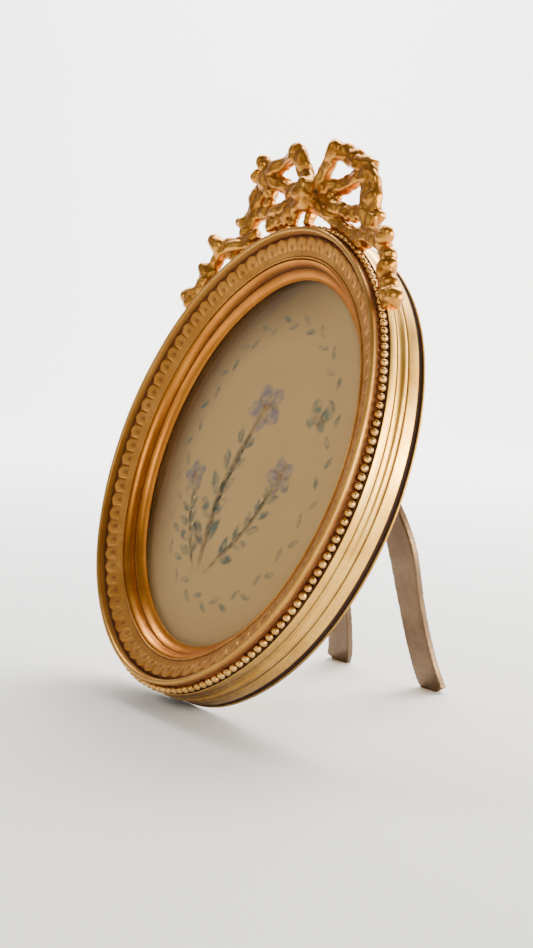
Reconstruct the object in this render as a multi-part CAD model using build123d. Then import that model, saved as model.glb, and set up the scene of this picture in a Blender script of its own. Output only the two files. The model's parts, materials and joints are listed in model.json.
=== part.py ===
from build123d import *
import math
import os

# Oval easel frame of gilt cast metal: moulded oval, ribbon-bow crest, glazed picture, closed back and a folding strut.
# Lengths are in millimetres and angles in degrees. The frame is modelled flat, front up, and then leaned back.
# In that flat pose X runs across, Y up the long axis and Z out of the front, with the rim's back face at Z zero.

os.makedirs("parts", exist_ok=True)

# Oval outline, measured over the back lip
half_width = 50.0
half_height = 61.25
side_arc_end = 25.0
end_arc_start = 62.0
shoulder_radius_share = 1.02

# Stance
lean_angle = 19.7
strut_length = 102.4

# Rim casting, from the back lip to the front corner
lip_height = 0.5
cavetto_height = 1.5
cavetto_depth = 0.8
lower_band_inset = 0.2
lower_band_height = 3.0
line_depth = 0.3
line_width = 0.5
ogee_height = 3.1
ogee_inset = 0.5
ogee_bulge = 0.4
upper_band_inset = 0.6
upper_band_height = 2.1
corner_width = 0.2
rim_wall = 4.4
plate_thickness = 1.4
plate_drop = 0.7

# Bead row in the rebate behind the front corner
bead_radius = 0.86
bead_height = 2.1
bead_pitch = 2.07
bead_strip_width = 1.4
bead_sides = 6
bead_shoulder_share = 0.6
bead_crown_radius = 0.5
seat_gap = 0.06

# Plain front ring
ring_width = 2.2
ring_wall_height = 4.0
ring_crown = 1.1

# Leaf-tip band, sloping in from the ring
leaf_width = 4.7
leaf_outer_height = 4.3
leaf_inner_height = 1.2
leaf_nosing = 0.3

# Cove liner down to the sight edge
cove_width = 3.9
cove_sight_height = 6.8
cove_sight_thickness = 0.4
cove_top_height = 11.4
cove_torus_width = 1.2
cove_torus_drop = 2.1
cove_torus_bulge = 0.25
cove_line_width = 0.3
cove_line_depth = 0.4
cove_sag = 0.3

# Glazing and back, all in one outline inside the rim wall
glazing_gap = 0.3
glass_thickness = 2.0
sheet_thickness = 0.3
back_plate_thickness = 1.2

# Turn clips and their pivot screws
clip_angle = 40.0
clip_length = 7.6
clip_width = 3.6
clip_thickness = 0.8
pivot_gap = 0.05
screw_radius = 0.8
screw_depth = 4.0
screw_head_radius = 1.4
screw_head_thickness = 0.6
screw_inset = 2.9

# Hinge on the back plate
hinge_height = 45.0
hinge_standoff = 3.1
pin_radius = 0.9
knuckle_radius = 2.0
leaf_knuckle_width = 6.0
plate_knuckle_width = 3.6
knuckle_gap = 0.15
hinge_plate_width = 20.0
hinge_plate_height = 15.0
hinge_plate_thickness = 1.0
hinge_plate_corner = 3.0
heel_length = 3.2
stop_gap = 0.1
rivet_radius = 0.8
rivet_head_radius = 1.4
rivet_head_thickness = 0.6
rivet_inset = 2.6

# Strut: a knuckled leaf that carries a two-legged strap
strap_thickness = 2.0
strut_leaf_thickness = 1.0
strut_leaf_width = 12.0
strut_leaf_length = 15.0
strap_top = 2.8
foot_reach = 24.0

# Outer and inner edge of one leg: across as shares of foot_reach, along as shares of strut_length
leg_outer_shares = [(0.27, 0.027), (0.27, 0.16), (0.33, 0.29), (0.48, 0.41), (0.66, 0.51), (0.77, 0.58), (0.81, 0.66),
                    (0.80, 0.73), (0.81, 0.80), (0.85, 0.885), (0.925, 0.96), (0.965, 0.985)]
leg_inner_shares = [(0.66, 1.03), (0.59, 0.985), (0.54, 0.945), (0.49, 0.875), (0.455, 0.79), (0.43, 0.71),
                    (0.40, 0.62), (0.31, 0.525), (0.17, 0.42)]
leg_fork_share = 0.35

# Ribbon bow, measured from the top of the oval
bow_reach = 27.0
bow_rise = 19.5
bow_forward = 4.2
bow_askew = 3.2
bow_level = 12.2
ribbon_half_width = 2.0
ribbon_thickness = 2.1
ribbon_ridge = 0.5
ribbon_lift = 1.5
knot_width = 6.4
knot_height = 9.0
knot_depth = 8.0
knot_rise = 6.6
knot_sides = 8
post_width = 1.4

# Rings of the knot: height as a share of knot_depth, and size as a share of its width and height
knot_shares = [(0, 0.8), (0.55, 1.0), (1.0, 0.55)]

# Strands of the right half: across, up, half width and lift, as shares of reach, rise, ribbon_half_width and lift
inner_strand_shares = [(0.05, 0.44, 0.80, 0.4), (0.14, 0.62, 0.92, 0.5), (0.22, 0.77, 0.92, 0.9),
                       (0.285, 0.88, 1.15, 1.3), (0.325, 0.96, 0.75, 1.1)]
outer_strand_shares = [(0.24, 0.83, 0.80, 1.0), (0.37, 0.83, 0.80, 0.9), (0.50, 0.76, 0.70, 0.4),
                       (0.62, 0.70, 0.78, 0.7), (0.73, 0.69, 0.84, 0.3), (0.795, 0.70, 0.55, 0.1)]
side_strand_shares = [(0.73, 0.69, 0.80, 0.2), (0.77, 0.57, 1.05, 0.5), (0.81, 0.43, 1.35, 0.1),
                      (0.845, 0.28, 1.40, 0.5), (0.86, 0.14, 1.20, 0.1), (0.88, 0.0, 1.0, 0.4),
                      (0.88, -0.15, 1.0, 0.0), (0.87, -0.28, 1.0, 0.0)]
middle_strand_shares = [(0.06, 0.42, 0.80, 0.4), (0.24, 0.44, 0.75, 0.1), (0.42, 0.47, 0.72, -0.2),
                        (0.59, 0.54, 0.95, 0.2), (0.75, 0.59, 1.00, 0.4)]
lower_strand_shares = [(0.08, 0.33, 0.75, 0.4), (0.25, 0.25, 0.70, 0.1), (0.43, 0.17, 0.70, 0.4),
                       (0.61, 0.12, 0.75, 0.0), (0.79, 0.12, 0.85, 0.3), (0.99, 0.03, 0.75, 0.1)]
crossing_strand_shares = [(0.07, 0.28, 0.75, 0.7), (0.24, 0.14, 0.70, 0.5), (0.41, 0.02, 0.78, 0.1),
                          (0.57, -0.08, 0.62, 0.0), (0.75, -0.19, 0.68, 0.0), (0.91, -0.27, 1.0, 0.0)]

# The right tail: normal angle on the oval, stand-off as a share of tail_standoff, half width and lift as shares
tail_standoff = 5.2
tail_level = 12.3
tail_thickness = 2.4
tail_shares = [(60.5, 0.22, 1.05, 0.0), (57.0, 0.46, 0.80, 0.3), (53.0, 0.88, 0.95, 0.8), (49.0, 0.98, 0.85, 0.8),
               (46.0, 0.80, 0.65, 0.2), (43.0, 0.58, 1.00, 0.5), (39.5, 0.36, 0.85, 0.1), (36.0, 0.34, 1.00, 0.4),
               (33.0, 0.24, 0.65, 0.0)]
crest_seat_gap = 0.1

# Studs that pin the crest to the rim wall
stud_angle = 74.0
stud_radius = 0.6
stud_level = 9.6
stud_in_rim = 2.4
stud_in_lug = 1.8
lug_size = 3.0
lug_foot = 1.2

# One overrun serves every cut
overrun = 5.0

# Levels of the rim's front, and insets of the mouldings, from the sizes above
cavetto_top = lip_height + cavetto_height
lower_line_level = cavetto_top + lower_band_height
ogee_base = lower_line_level + line_width
ogee_top = ogee_base + ogee_height
upper_line_top = ogee_top + line_width
corner_level = upper_line_top + upper_band_height
plate_top = corner_level - plate_drop
plate_bottom = plate_top - plate_thickness
corner_inset = upper_band_inset + corner_width
bead_inset = corner_inset + seat_gap + bead_strip_width / 2
strip_top = corner_level
ring_outer = corner_inset + bead_strip_width + 2 * seat_gap
ring_inner = ring_outer + ring_width
leaf_outer = ring_inner + seat_gap
leaf_inner = leaf_outer + leaf_width
cove_outer = leaf_inner + seat_gap
cove_inner = cove_outer + cove_width
glazing_inset = rim_wall + glazing_gap
glass_back = cove_sight_height - glass_thickness
sheet_back = glass_back - sheet_thickness
hinge_level = -hinge_standoff
oval_top = half_height


def oval_arcs():
    """Centre, radius and angles of the eight tangent arcs that make the oval, from the right side round."""
    t1, t2 = math.radians(side_arc_end), math.radians(end_arc_start)
    middle = shoulder_radius_share * math.sqrt(half_width * half_height)
    # two equations, for the half width and the half height, give the side radius and the end radius
    a11, a12 = 1 - math.cos(t1), math.cos(t2)
    a21, a22 = math.sin(t1), 1 - math.sin(t2)
    b1 = half_width - middle * (math.cos(t1) - math.cos(t2))
    b2 = half_height - middle * (math.sin(t2) - math.sin(t1))
    det = a11 * a22 - a12 * a21
    side = (b1 * a22 - a12 * b2) / det
    end = (a11 * b2 - a21 * b1) / det
    sx = half_width - side
    mx, my = sx + (side - middle) * math.cos(t1), (side - middle) * math.sin(t1)
    ey = half_height - end
    low, high = side_arc_end, end_arc_start
    return [
        (sx, 0, side, -low, low),
        (mx, my, middle, low, high),
        (0, ey, end, high, 180 - high),
        (-mx, my, middle, 180 - high, 180 - low),
        (-sx, 0, side, 180 - low, 180 + low),
        (-mx, -my, middle, 180 + low, 180 + high),
        (0, -ey, end, 180 + high, 360 - high),
        (mx, -my, middle, 360 - high, 360 - low),
    ]


ARCS = oval_arcs()


def on_oval(angle, inset):
    """Point of the oval, inset from the outline, where the normal has this angle."""
    turned = (angle + side_arc_end) % 360 - side_arc_end
    for x, y, radius, start, stop in ARCS:
        if start <= turned <= stop:
            reach = radius - inset
            return x + reach * math.cos(math.radians(turned)), y + reach * math.sin(math.radians(turned))


def oval_face(inset):
    """Flat oval, inset from the outline."""
    edges = [CenterArc((x, y), radius - inset, start, stop - start) for x, y, radius, start, stop in ARCS]
    return make_face(edges)


def plate(inset, bottom, top):
    """Flat oval slab between two levels."""
    return Pos(0, 0, bottom) * extrude(oval_face(inset), top - bottom)


def section(steps, radius):
    """Face across a moulding. A step is a point (inset, level), or two points: one on an arc and its end."""
    def place(point):
        return radius - point[0], 0, point[1]
    edges, last = [], steps[0]
    for step in steps[1:] + [steps[0]]:
        if isinstance(step[0], tuple):
            edges.append(ThreePointArc(place(last), place(step[0]), place(step[1])))
            last = step[1]
        else:
            edges.append(Line(place(last), place(step)))
            last = step
    return make_face(edges)


def moulding(steps):
    """One section carried round the eight arcs of the oval."""
    sectors = []
    for x, y, radius, start, stop in ARCS:
        turn = revolve(section(steps, radius), Axis.Z, revolution_arc=stop - start)
        sectors.append(Pos(x, y, 0) * Rot(0, 0, start) * turn)
    return sectors[0].fuse(*sectors[1:])


def make_rim():
    """Outer casting: lip, cavetto, two flat bands with the ogee between, front corner and the plate behind."""
    lower_band_top = lower_band_inset + line_depth / 2
    steps = [
        (0, 0),
        (0, lip_height),
        ((cavetto_depth, lip_height + cavetto_height / 2), (lower_band_inset, cavetto_top)),
        (lower_band_top, lower_line_level),
        (lower_band_top + line_depth, lower_line_level + line_width / 2),
        (ogee_inset, ogee_base),
        ((ogee_inset - ogee_bulge, ogee_base + ogee_height / 3), (ogee_inset, ogee_base + 2 * ogee_height / 3)),
        (upper_band_inset, ogee_top),
        (upper_band_inset + line_depth, ogee_top + line_width / 2),
        (upper_band_inset, upper_line_top),
        (upper_band_inset, corner_level),
        (corner_inset, corner_level),
        (corner_inset, plate_top),
        (leaf_inner, plate_top),
        (leaf_inner, plate_bottom),
        (rim_wall, plate_bottom),
        (rim_wall, 0),
    ]
    rim = moulding(steps)
    for angle in clip_angles():
        x, y = on_oval(angle, screw_inset)
        hole = Cylinder(screw_radius, screw_depth + overrun)
        rim -= Pos(x, y, (screw_depth - overrun) / 2) * hole
    for stud in stud_places():
        rim -= stud * Cylinder(stud_radius + pivot_gap, 2 * (stud_in_rim + pivot_gap))
    return rim


def clip_angles():
    """Normal angles of the four turn clips."""
    return [clip_angle, 180 - clip_angle, 180 + clip_angle, 360 - clip_angle]


def stud_places():
    """Locations on the oval's wall with Z pointing outwards, one for each crest stud."""
    places = []
    for angle in (stud_angle, 180 - stud_angle):
        x, y = on_oval(angle, upper_band_inset)
        out = (math.cos(math.radians(angle)), math.sin(math.radians(angle)), 0)
        places.append(Plane(origin=(x, y, stud_level), x_dir=(0, 0, 1), z_dir=out).location)
    return places


def bead_places():
    """Centre and normal angle of each bead, evenly spaced along the row."""
    spans = [(radius - bead_inset) * math.radians(stop - start) for _, _, radius, start, stop in ARCS]
    count = round(sum(spans) / bead_pitch)
    step = sum(spans) / count
    places, arc, passed = [], 0, 0
    for index in range(count):
        along = (index + 0.5) * step
        while along > passed + spans[arc]:
            passed += spans[arc]
            arc += 1
        _, _, radius, start, stop = ARCS[arc]
        angle = start + (stop - start) * (along - passed) / spans[arc]
        places.append((on_oval(angle, bead_inset), angle))
    return places


def make_bead_row():
    """Flat strip in the rebate, level with the front corner, with a faceted bead on it at each pitch."""
    low, high = bead_inset - bead_strip_width / 2, bead_inset + bead_strip_width / 2
    strip = moulding([(low, plate_top), (low, strip_top), (high, strip_top), (high, plate_top)])
    girth = RegularPolygon(bead_radius, bead_sides)
    crown = RegularPolygon(bead_crown_radius, bead_sides)
    shoulder = Pos(0, 0, bead_shoulder_share * bead_height) * girth
    bead = loft([girth, shoulder, Pos(0, 0, bead_height) * crown], ruled=True)
    beads = [Pos(x, y, strip_top) * Rot(0, 0, angle + 180 / bead_sides) * bead for (x, y), angle in bead_places()]
    return strip.fuse(*beads)


def make_front_ring():
    """Plain ring: upright walls and a half-round crown."""
    wall_top = plate_top + ring_wall_height
    middle = (ring_outer + ring_inner) / 2
    return moulding([
        (ring_outer, plate_top),
        (ring_outer, wall_top),
        ((middle, wall_top + ring_crown), (ring_inner, wall_top)),
        (ring_inner, plate_top),
    ])


def make_leaf_band():
    """Sloping band that carries the leaf tips, with a small nosing at its inner edge."""
    outer_top = plate_top + leaf_outer_height
    inner_top = plate_top + leaf_inner_height
    nose = leaf_inner - 2 * leaf_nosing
    return moulding([
        (leaf_outer, plate_top),
        (leaf_outer, outer_top - leaf_nosing),
        (leaf_outer + leaf_nosing, outer_top),
        (nose, inner_top),
        (nose + leaf_nosing, inner_top + leaf_nosing),
        (leaf_inner, inner_top),
        (leaf_inner, plate_top),
    ])


def make_cove_liner():
    """Torus, fine line and hollow down to the sight edge, with a flange that bears up under the rim's plate."""
    flange_top = plate_bottom
    sight_top = cove_sight_height + cove_sight_thickness
    nosing = cove_outer + leaf_nosing
    line_inset = nosing + cove_torus_width
    line_level = cove_top_height - cove_torus_drop
    torus_inset = nosing + cove_torus_width / 2 + cove_torus_bulge
    torus_level = cove_top_height - cove_torus_drop / 2 + cove_torus_bulge / 2
    hollow_outer = line_inset + cove_line_width
    hollow_top = line_level - cove_line_depth
    hollow_inset = (hollow_outer + cove_inner) / 2 - cove_sag / 2
    hollow_level = (hollow_top + sight_top) / 2 - cove_sag
    return moulding([
        (rim_wall + seat_gap, cove_sight_height),
        (rim_wall + seat_gap, flange_top),
        (cove_outer, flange_top),
        (cove_outer, cove_top_height),
        (nosing, cove_top_height),
        ((torus_inset, torus_level), (line_inset, line_level)),
        (line_inset, hollow_top),
        (hollow_outer, hollow_top),
        ((hollow_inset, hollow_level), (cove_inner, sight_top)),
        (cove_inner, cove_sight_height),
    ])


def flow(rows):
    """The rows with one more between each pair, on a smooth curve through them all."""
    out = []
    for i in range(len(rows) - 1):
        before = rows[max(i - 1, 0)]
        a, b = rows[i], rows[i + 1]
        after = rows[min(i + 2, len(rows) - 1)]
        out.append(a)
        out.append(tuple((9 * (p + q) - o - n) / 16 for o, p, q, n in zip(before, a, b, after)))
    return out + [rows[-1]]


def ribbon(rows, thickness):
    """Ridged strand through rows of (x, y, level, half width)."""
    rows = flow(rows)
    sections = []
    for i, (x, y, level, half) in enumerate(rows):
        ahead, behind = rows[min(i + 1, len(rows) - 1)], rows[max(i - 1, 0)]
        dx, dy = ahead[0] - behind[0], ahead[1] - behind[1]
        size = math.hypot(dx, dy)
        nx, ny = -dy / size, dx / size
        low, high = level - thickness / 2, level + thickness / 2
        corners = [(-half, low), (half, low), (half, high), (0, high + ribbon_ridge), (-half, high)]
        points = [(x + nx * side, y + ny * side, z) for side, z in corners]
        sections.append(Wire(Polyline(*points, close=True).edges()))
    return Solid.make_loft(sections, ruled=True)


def bow_rows(shares):
    """Strand rows of the right half from a table of shares."""
    rows = []
    for across, up, half, lift in shares:
        y = oval_top + up * bow_rise
        level = bow_level + max(up, 0) * bow_forward + lift * ribbon_lift
        rows.append((across * bow_reach, y, level, half * ribbon_half_width))
    return rows


def tail_rows():
    """Rows of the right tail, standing off the oval by its shares."""
    rows = []
    for angle, off, half, lift in tail_shares:
        x, y = on_oval(angle, -off * tail_standoff)
        rows.append((x, y, tail_level + lift * ribbon_lift, half * ribbon_half_width))
    return rows


def make_knot():
    """Many-sided lump that binds the ribbons, widest at its middle."""
    rings = []
    for rise, size in knot_shares:
        corners = []
        for k in range(knot_sides):
            turn = 2 * math.pi * (k + 0.5) / knot_sides
            corners.append((size * knot_width / 2 * math.cos(turn), size * knot_height / 2 * math.sin(turn)))
        rings.append(Pos(0, 0, rise * knot_depth) * make_face(Polyline(*corners, close=True)))
    return Pos(0, oval_top + knot_rise, bow_level - ribbon_thickness / 2) * loft(rings, ruled=True)


def seat_envelope():
    """Everything the crest has to stay clear of: the rim, the beads and the mouldings inside them."""
    gap = crest_seat_gap
    far = half_width / 2
    top = bow_level + bow_rise
    return moulding([
        (-gap, -overrun),
        (-gap, ogee_base),
        (upper_band_inset - ogee_bulge - gap, ogee_top),
        (upper_band_inset - gap, upper_line_top),
        (upper_band_inset - gap, top),
        (far, top),
        (far, -overrun),
    ])


def make_crest():
    """The pierced bow, turned a little askew, and its two tails: one casting, cut to sit on the oval's shoulder."""
    tables = [inner_strand_shares, outer_strand_shares, side_strand_shares, middle_strand_shares,
              lower_strand_shares, crossing_strand_shares]
    strands = [ribbon(bow_rows(table), ribbon_thickness) for table in tables]
    askew = Pos(0, oval_top, 0) * Rot(0, 0, -bow_askew) * Pos(0, -oval_top, 0)
    bow = [askew * piece for strand in strands for piece in (strand, strand.mirror(Plane.YZ))]
    tail = ribbon(tail_rows(), tail_thickness)
    post_rows = [(0, oval_top + height, bow_level, post_width / 2) for height in (knot_rise, -upper_band_inset)]
    post = ribbon(post_rows, ribbon_thickness)
    lug_height = bow_level - stud_level + lug_foot
    lug = Pos((bow_level - stud_level - lug_foot) / 2, 0, 0) * Box(lug_height, lug_size, 2 * lug_size)
    lugs = [stud * lug for stud in stud_places()]
    crest = bow[0].fuse(*bow[1:], askew * make_knot(), post, tail, tail.mirror(Plane.YZ), *lugs)
    crest -= seat_envelope()
    for stud in stud_places():
        crest -= stud * Cylinder(stud_radius + pivot_gap, 2 * (stud_in_lug + pivot_gap))
    return crest


def make_crest_studs():
    """Two plain studs, half in the crest's lugs and half in the rim wall."""
    length = stud_in_rim + stud_in_lug
    return [stud * Pos(0, 0, (stud_in_lug - stud_in_rim) / 2) * Cylinder(stud_radius, length) for stud in stud_places()]


def clip_location(angle):
    """Pivot of a clip on the rim's back face, with X pointing in towards the picture."""
    x, y = on_oval(angle, screw_inset)
    return Pos(x, y, 0) * Rot(0, 0, angle + 180)


def make_clip(angle):
    """Round-ended strip, bored at its pivot end."""
    outline = Pos(clip_length / 2, 0, 0) * SlotOverall(clip_length + clip_width, clip_width)
    hole = Circle(screw_radius + pivot_gap)
    shape = extrude(outline - hole, clip_thickness)
    return clip_location(angle) * Pos(0, 0, -clip_thickness - pivot_gap) * shape


def make_clip_screws():
    """Round-head screws that the clips turn on."""
    screws = []
    head_top = -clip_thickness - 2 * pivot_gap
    shank_length = screw_depth - head_top
    for angle in clip_angles():
        shank = Pos(0, 0, head_top + shank_length / 2) * Cylinder(screw_radius, shank_length)
        head = Pos(0, 0, head_top - screw_head_thickness / 2) * Cylinder(screw_head_radius, screw_head_thickness)
        screws.append(clip_location(angle) * (shank + head))
    return screws


def hinge_rivet_places():
    """Corners of the hinge plate, inset, two above the knuckles and two below."""
    x = hinge_plate_width / 2 - rivet_inset
    y = hinge_plate_height / 2 - rivet_inset
    return [(sx * x, hinge_height + sy * y) for sx in (-1, 1) for sy in (-1, 1)]


def make_hinge_plate():
    """Plate on the back with two knuckles that stand off it."""
    base = extrude(RectangleRounded(hinge_plate_width, hinge_plate_height, hinge_plate_corner), hinge_plate_thickness)
    plate_part = Pos(0, hinge_height, -hinge_plate_thickness) * base
    offset = leaf_knuckle_width / 2 + plate_knuckle_width / 2
    for side in (-1, 1):
        barrel = Rot(0, 90, 0) * Cylinder(knuckle_radius, plate_knuckle_width)
        saddle_height = hinge_standoff - hinge_plate_thickness / 2
        saddle = Pos(0, 0, saddle_height / 2) * Box(plate_knuckle_width, 2 * knuckle_radius, saddle_height)
        plate_part += Pos(side * offset, hinge_height, hinge_level) * (barrel + saddle)
    bore = Rot(0, 90, 0) * Cylinder(pin_radius + pivot_gap, hinge_plate_width)
    plate_part -= Pos(0, hinge_height, hinge_level) * bore
    for x, y in hinge_rivet_places():
        plate_part -= Pos(x, y, -hinge_plate_thickness / 2) * Cylinder(rivet_radius, hinge_plate_thickness + overrun)
    return plate_part


def make_rivet(grip, centre):
    """Round rivet with a flat head at the back: centre is where the shank meets the head."""
    shank = Pos(0, 0, grip / 2) * Cylinder(rivet_radius, grip)
    head = Pos(0, 0, -rivet_head_thickness / 2) * Cylinder(rivet_head_radius, rivet_head_thickness)
    return Pos(*centre) * (shank + head)


def make_hinge_rivets():
    """Four rivets through the hinge plate and the back plate."""
    grip = hinge_plate_thickness + back_plate_thickness
    return [make_rivet(grip, (x, y, -hinge_plate_thickness)) for x, y in hinge_rivet_places()]


def make_back_plate():
    """Sheet that closes the back, drilled for the hinge rivets."""
    sheet = plate(glazing_inset, 0, back_plate_thickness)
    for x, y in hinge_rivet_places():
        sheet -= Pos(x, y, back_plate_thickness / 2) * Cylinder(rivet_radius, back_plate_thickness + overrun)
    return sheet


def make_hinge_pin():
    """Plain pin as long as the three knuckles."""
    length = leaf_knuckle_width + 2 * plate_knuckle_width
    return Pos(0, hinge_height, hinge_level) * Rot(0, 90, 0) * Cylinder(pin_radius, length)


# The strut is drawn hanging from its axis: X across, Y down the legs as minus Y, Z towards the frame's back.

def strut_rivet_places():
    """Two rivets side by side and one below, in the strut leaf."""
    low = strut_leaf_length - rivet_inset
    high = low - strut_leaf_length / 2
    return [(-strut_leaf_width / 4, -high), (strut_leaf_width / 4, -high), (0, -low)]


def make_strut_leaf(open_angle):
    """Centre knuckle with a plate behind the strap and a heel that stops the strut when it is open."""
    width = leaf_knuckle_width - 2 * knuckle_gap
    barrel = Rot(0, 90, 0) * Cylinder(knuckle_radius, width)
    face = -strap_thickness / 2
    tongue_length = strut_leaf_length - strap_top
    tongue = Box(strut_leaf_width, tongue_length, strut_leaf_thickness)
    tongue = Pos(0, -strap_top - tongue_length / 2, face - strut_leaf_thickness / 2) * tongue
    neck_length = strap_top + overrun / 2
    neck = Pos(0, -neck_length / 2, face - strut_leaf_thickness / 2) * Box(width, neck_length, strut_leaf_thickness)
    stop_level = hinge_standoff - hinge_plate_thickness - stop_gap
    heel = Pos(0, heel_length / 2, stop_level / 2) * Box(width, heel_length, stop_level)
    leaf = barrel + neck + tongue + Rot(-open_angle, 0, 0) * heel
    leaf -= Rot(0, 90, 0) * Cylinder(pin_radius + pivot_gap, strut_leaf_width)
    for x, y in strut_rivet_places():
        leaf -= Pos(x, y, face) * Cylinder(rivet_radius, strut_leaf_thickness + overrun)
    return leaf


def make_strut_legs():
    """Two-legged strap: both legs and the fork in one outline, mirrored about the centre line."""
    def points(shares):
        return [(across * foot_reach, -along * strut_length) for across, along in shares]
    outer, inner = points(leg_outer_shares), points(leg_inner_shares)
    fork = (0, -leg_fork_share * strut_length)
    top = outer[0]
    edges = [
        Line((0, top[1]), top),
        Spline(*outer),
        Line(outer[-1], inner[0]),
        Spline(*inner, fork, tangents=((0, 1), (-1, 0))),
        Line(fork, (0, top[1])),
    ]
    half = make_face(edges)
    outline = half + half.mirror(Plane.YZ)
    strap = Pos(0, 0, -strap_thickness / 2) * extrude(outline, strap_thickness)
    for x, y in strut_rivet_places():
        strap -= Pos(x, y, 0) * Cylinder(rivet_radius, strap_thickness + overrun)
    return strap


def make_strut_rivets():
    """Three rivets through the leaf and the strap."""
    grip = strut_leaf_thickness + strap_thickness
    back = -strap_thickness / 2 - strut_leaf_thickness
    return [make_rivet(grip, (x, y, back)) for x, y in strut_rivet_places()]


# Stance: the hinge's height above the ground and the strut's length give its slope and its opening angle
lean = math.radians(lean_angle)
hinge_over_ground = (hinge_height + half_height) * math.cos(lean) + hinge_level * math.sin(lean)
strut_slope = math.degrees(math.acos(hinge_over_ground / strut_length))
open_angle = strut_slope + lean_angle
stance = Plane(origin=(0, 0, half_height * math.cos(lean)), x_dir=(1, 0, 0),
               z_dir=(0, -math.cos(lean), math.sin(lean))).location
strut_stance = stance * Pos(0, hinge_height, hinge_level) * Rot(open_angle, 0, 0)

fixed = {
    "rim": [make_rim()],
    "bead_row": [make_bead_row()],
    "front_ring": [make_front_ring()],
    "leaf_band": [make_leaf_band()],
    "cove_liner": [make_cove_liner()],
    "bow_crest": [make_crest()],
    "crest_studs": make_crest_studs(),
    "glass": [plate(glazing_inset, glass_back, cove_sight_height)],
    "picture_sheet": [plate(glazing_inset, sheet_back, glass_back)],
    "backing_card": [plate(glazing_inset, back_plate_thickness, sheet_back)],
    "back_plate": [make_back_plate()],
    "clip_screws": make_clip_screws(),
    "hinge_plate": [make_hinge_plate()],
    "hinge_rivets": make_hinge_rivets(),
    "hinge_pin": [make_hinge_pin()],
}
for number, angle in enumerate(clip_angles(), start=1):
    fixed[f"turn_clip_{number}"] = [make_clip(angle)]
swung = {
    "strut_leaf": [make_strut_leaf(open_angle)],
    "strut_legs": [make_strut_legs()],
    "strut_rivets": make_strut_rivets(),
}

placed = {name: [stance * solid for solid in solids] for name, solids in fixed.items()}
placed.update({name: [strut_stance * solid for solid in solids] for name, solids in swung.items()})

# The feet are cut level with the ground, below the lip's lowest point
ground = Pos(0, 0, -strut_length / 2) * Box(4 * half_width, 4 * strut_length, strut_length)
placed["strut_legs"] = [placed["strut_legs"][0] - ground]

# The origin is the middle of the footprint's box, on the ground
whole = Compound(children=[Compound(children=[s for s in solids]) for solids in placed.values()]).bounding_box()
home = Pos(0, -(whole.min.Y + whole.max.Y) / 2, 0)
for name, solids in placed.items():
    export_step(Compound(label=name, children=[home * s for s in solids]), f"parts/{name}.step")

print("open angle", round(open_angle, 3), "strut slope", round(strut_slope, 3), "beads", len(bead_places()))
print("shift", round(home.position.Y, 4), "size", [round(v, 2) for v in whole.size])
pivots = {"strut": (home * stance * Pos(0, hinge_height, hinge_level)).position}
for number, angle in enumerate(clip_angles(), start=1):
    pivots[f"turn_clip_{number}"] = (home * stance * clip_location(angle)).position
for name, point in pivots.items():
    print("pivot", name, [round(v, 4) for v in point])
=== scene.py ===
import json
import math

import bmesh
import bpy
import numpy as np
from mathutils import Matrix, Vector, noise


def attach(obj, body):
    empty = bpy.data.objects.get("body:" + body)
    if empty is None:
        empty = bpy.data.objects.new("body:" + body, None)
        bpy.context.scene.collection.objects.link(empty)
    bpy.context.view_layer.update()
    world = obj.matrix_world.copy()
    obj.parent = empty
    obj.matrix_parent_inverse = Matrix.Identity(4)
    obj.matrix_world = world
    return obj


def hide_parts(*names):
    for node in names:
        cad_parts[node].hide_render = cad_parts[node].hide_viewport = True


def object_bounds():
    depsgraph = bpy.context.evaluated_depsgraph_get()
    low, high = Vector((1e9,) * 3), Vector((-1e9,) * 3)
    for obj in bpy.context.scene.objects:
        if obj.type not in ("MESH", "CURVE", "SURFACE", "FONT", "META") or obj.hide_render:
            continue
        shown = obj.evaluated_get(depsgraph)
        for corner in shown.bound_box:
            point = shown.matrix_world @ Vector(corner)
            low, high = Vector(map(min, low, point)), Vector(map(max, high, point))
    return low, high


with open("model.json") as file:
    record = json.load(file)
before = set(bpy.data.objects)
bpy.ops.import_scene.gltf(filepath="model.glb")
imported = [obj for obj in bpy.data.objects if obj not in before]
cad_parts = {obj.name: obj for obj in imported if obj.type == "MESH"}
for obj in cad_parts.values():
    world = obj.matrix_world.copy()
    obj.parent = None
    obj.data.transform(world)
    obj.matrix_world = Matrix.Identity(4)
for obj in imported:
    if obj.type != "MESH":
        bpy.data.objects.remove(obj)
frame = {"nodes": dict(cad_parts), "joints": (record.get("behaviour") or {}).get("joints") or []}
cad_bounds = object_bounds()
nodes = frame["nodes"]

# Camera.
# It stands low at the frame's right, at arm's length, and looks level at the oval.
def put(name, data):
    """Puts an object made of this data into the scene."""
    made = bpy.data.objects.new(name, data)
    bpy.context.scene.collection.objects.link(made)
    return made


camera_turn = (85.01, -2.79, 52.36)
camera_data = bpy.data.cameras.new("camera")
camera_data.sensor_width = 36.0
camera_data.lens = 49.37
camera_data.clip_start = 0.01
camera = put("camera", camera_data)
camera.location = (0.2568, -0.2057, 0.0846)
camera.rotation_euler = [math.radians(angle) for angle in camera_turn]
bpy.context.scene.camera = camera


# Studio sweep.
# A wide sheet of pale paper lies under the frame and rises in one bend well behind it, out of its shadow.
def add_node(tree, kind, inputs=None, **settings):
    """Adds a node, makes its settings, and fills its inputs with values, sockets or whole nodes."""
    made = tree.nodes.new(kind)
    for key, value in settings.items():
        setattr(made, key, value)
    for key, value in (inputs or {}).items():
        if isinstance(value, bpy.types.Node):
            value = value.outputs[0]
        if isinstance(value, bpy.types.NodeSocket):
            tree.links.new(value, made.inputs[key])
        else:
            made.inputs[key].default_value = value
    return made


def mottling(tree, scale, detail, **more):
    """Soft noise of a scale and a detail."""
    return add_node(tree, "ShaderNodeTexNoise", {"Scale": scale, "Detail": detail, **more})


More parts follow.
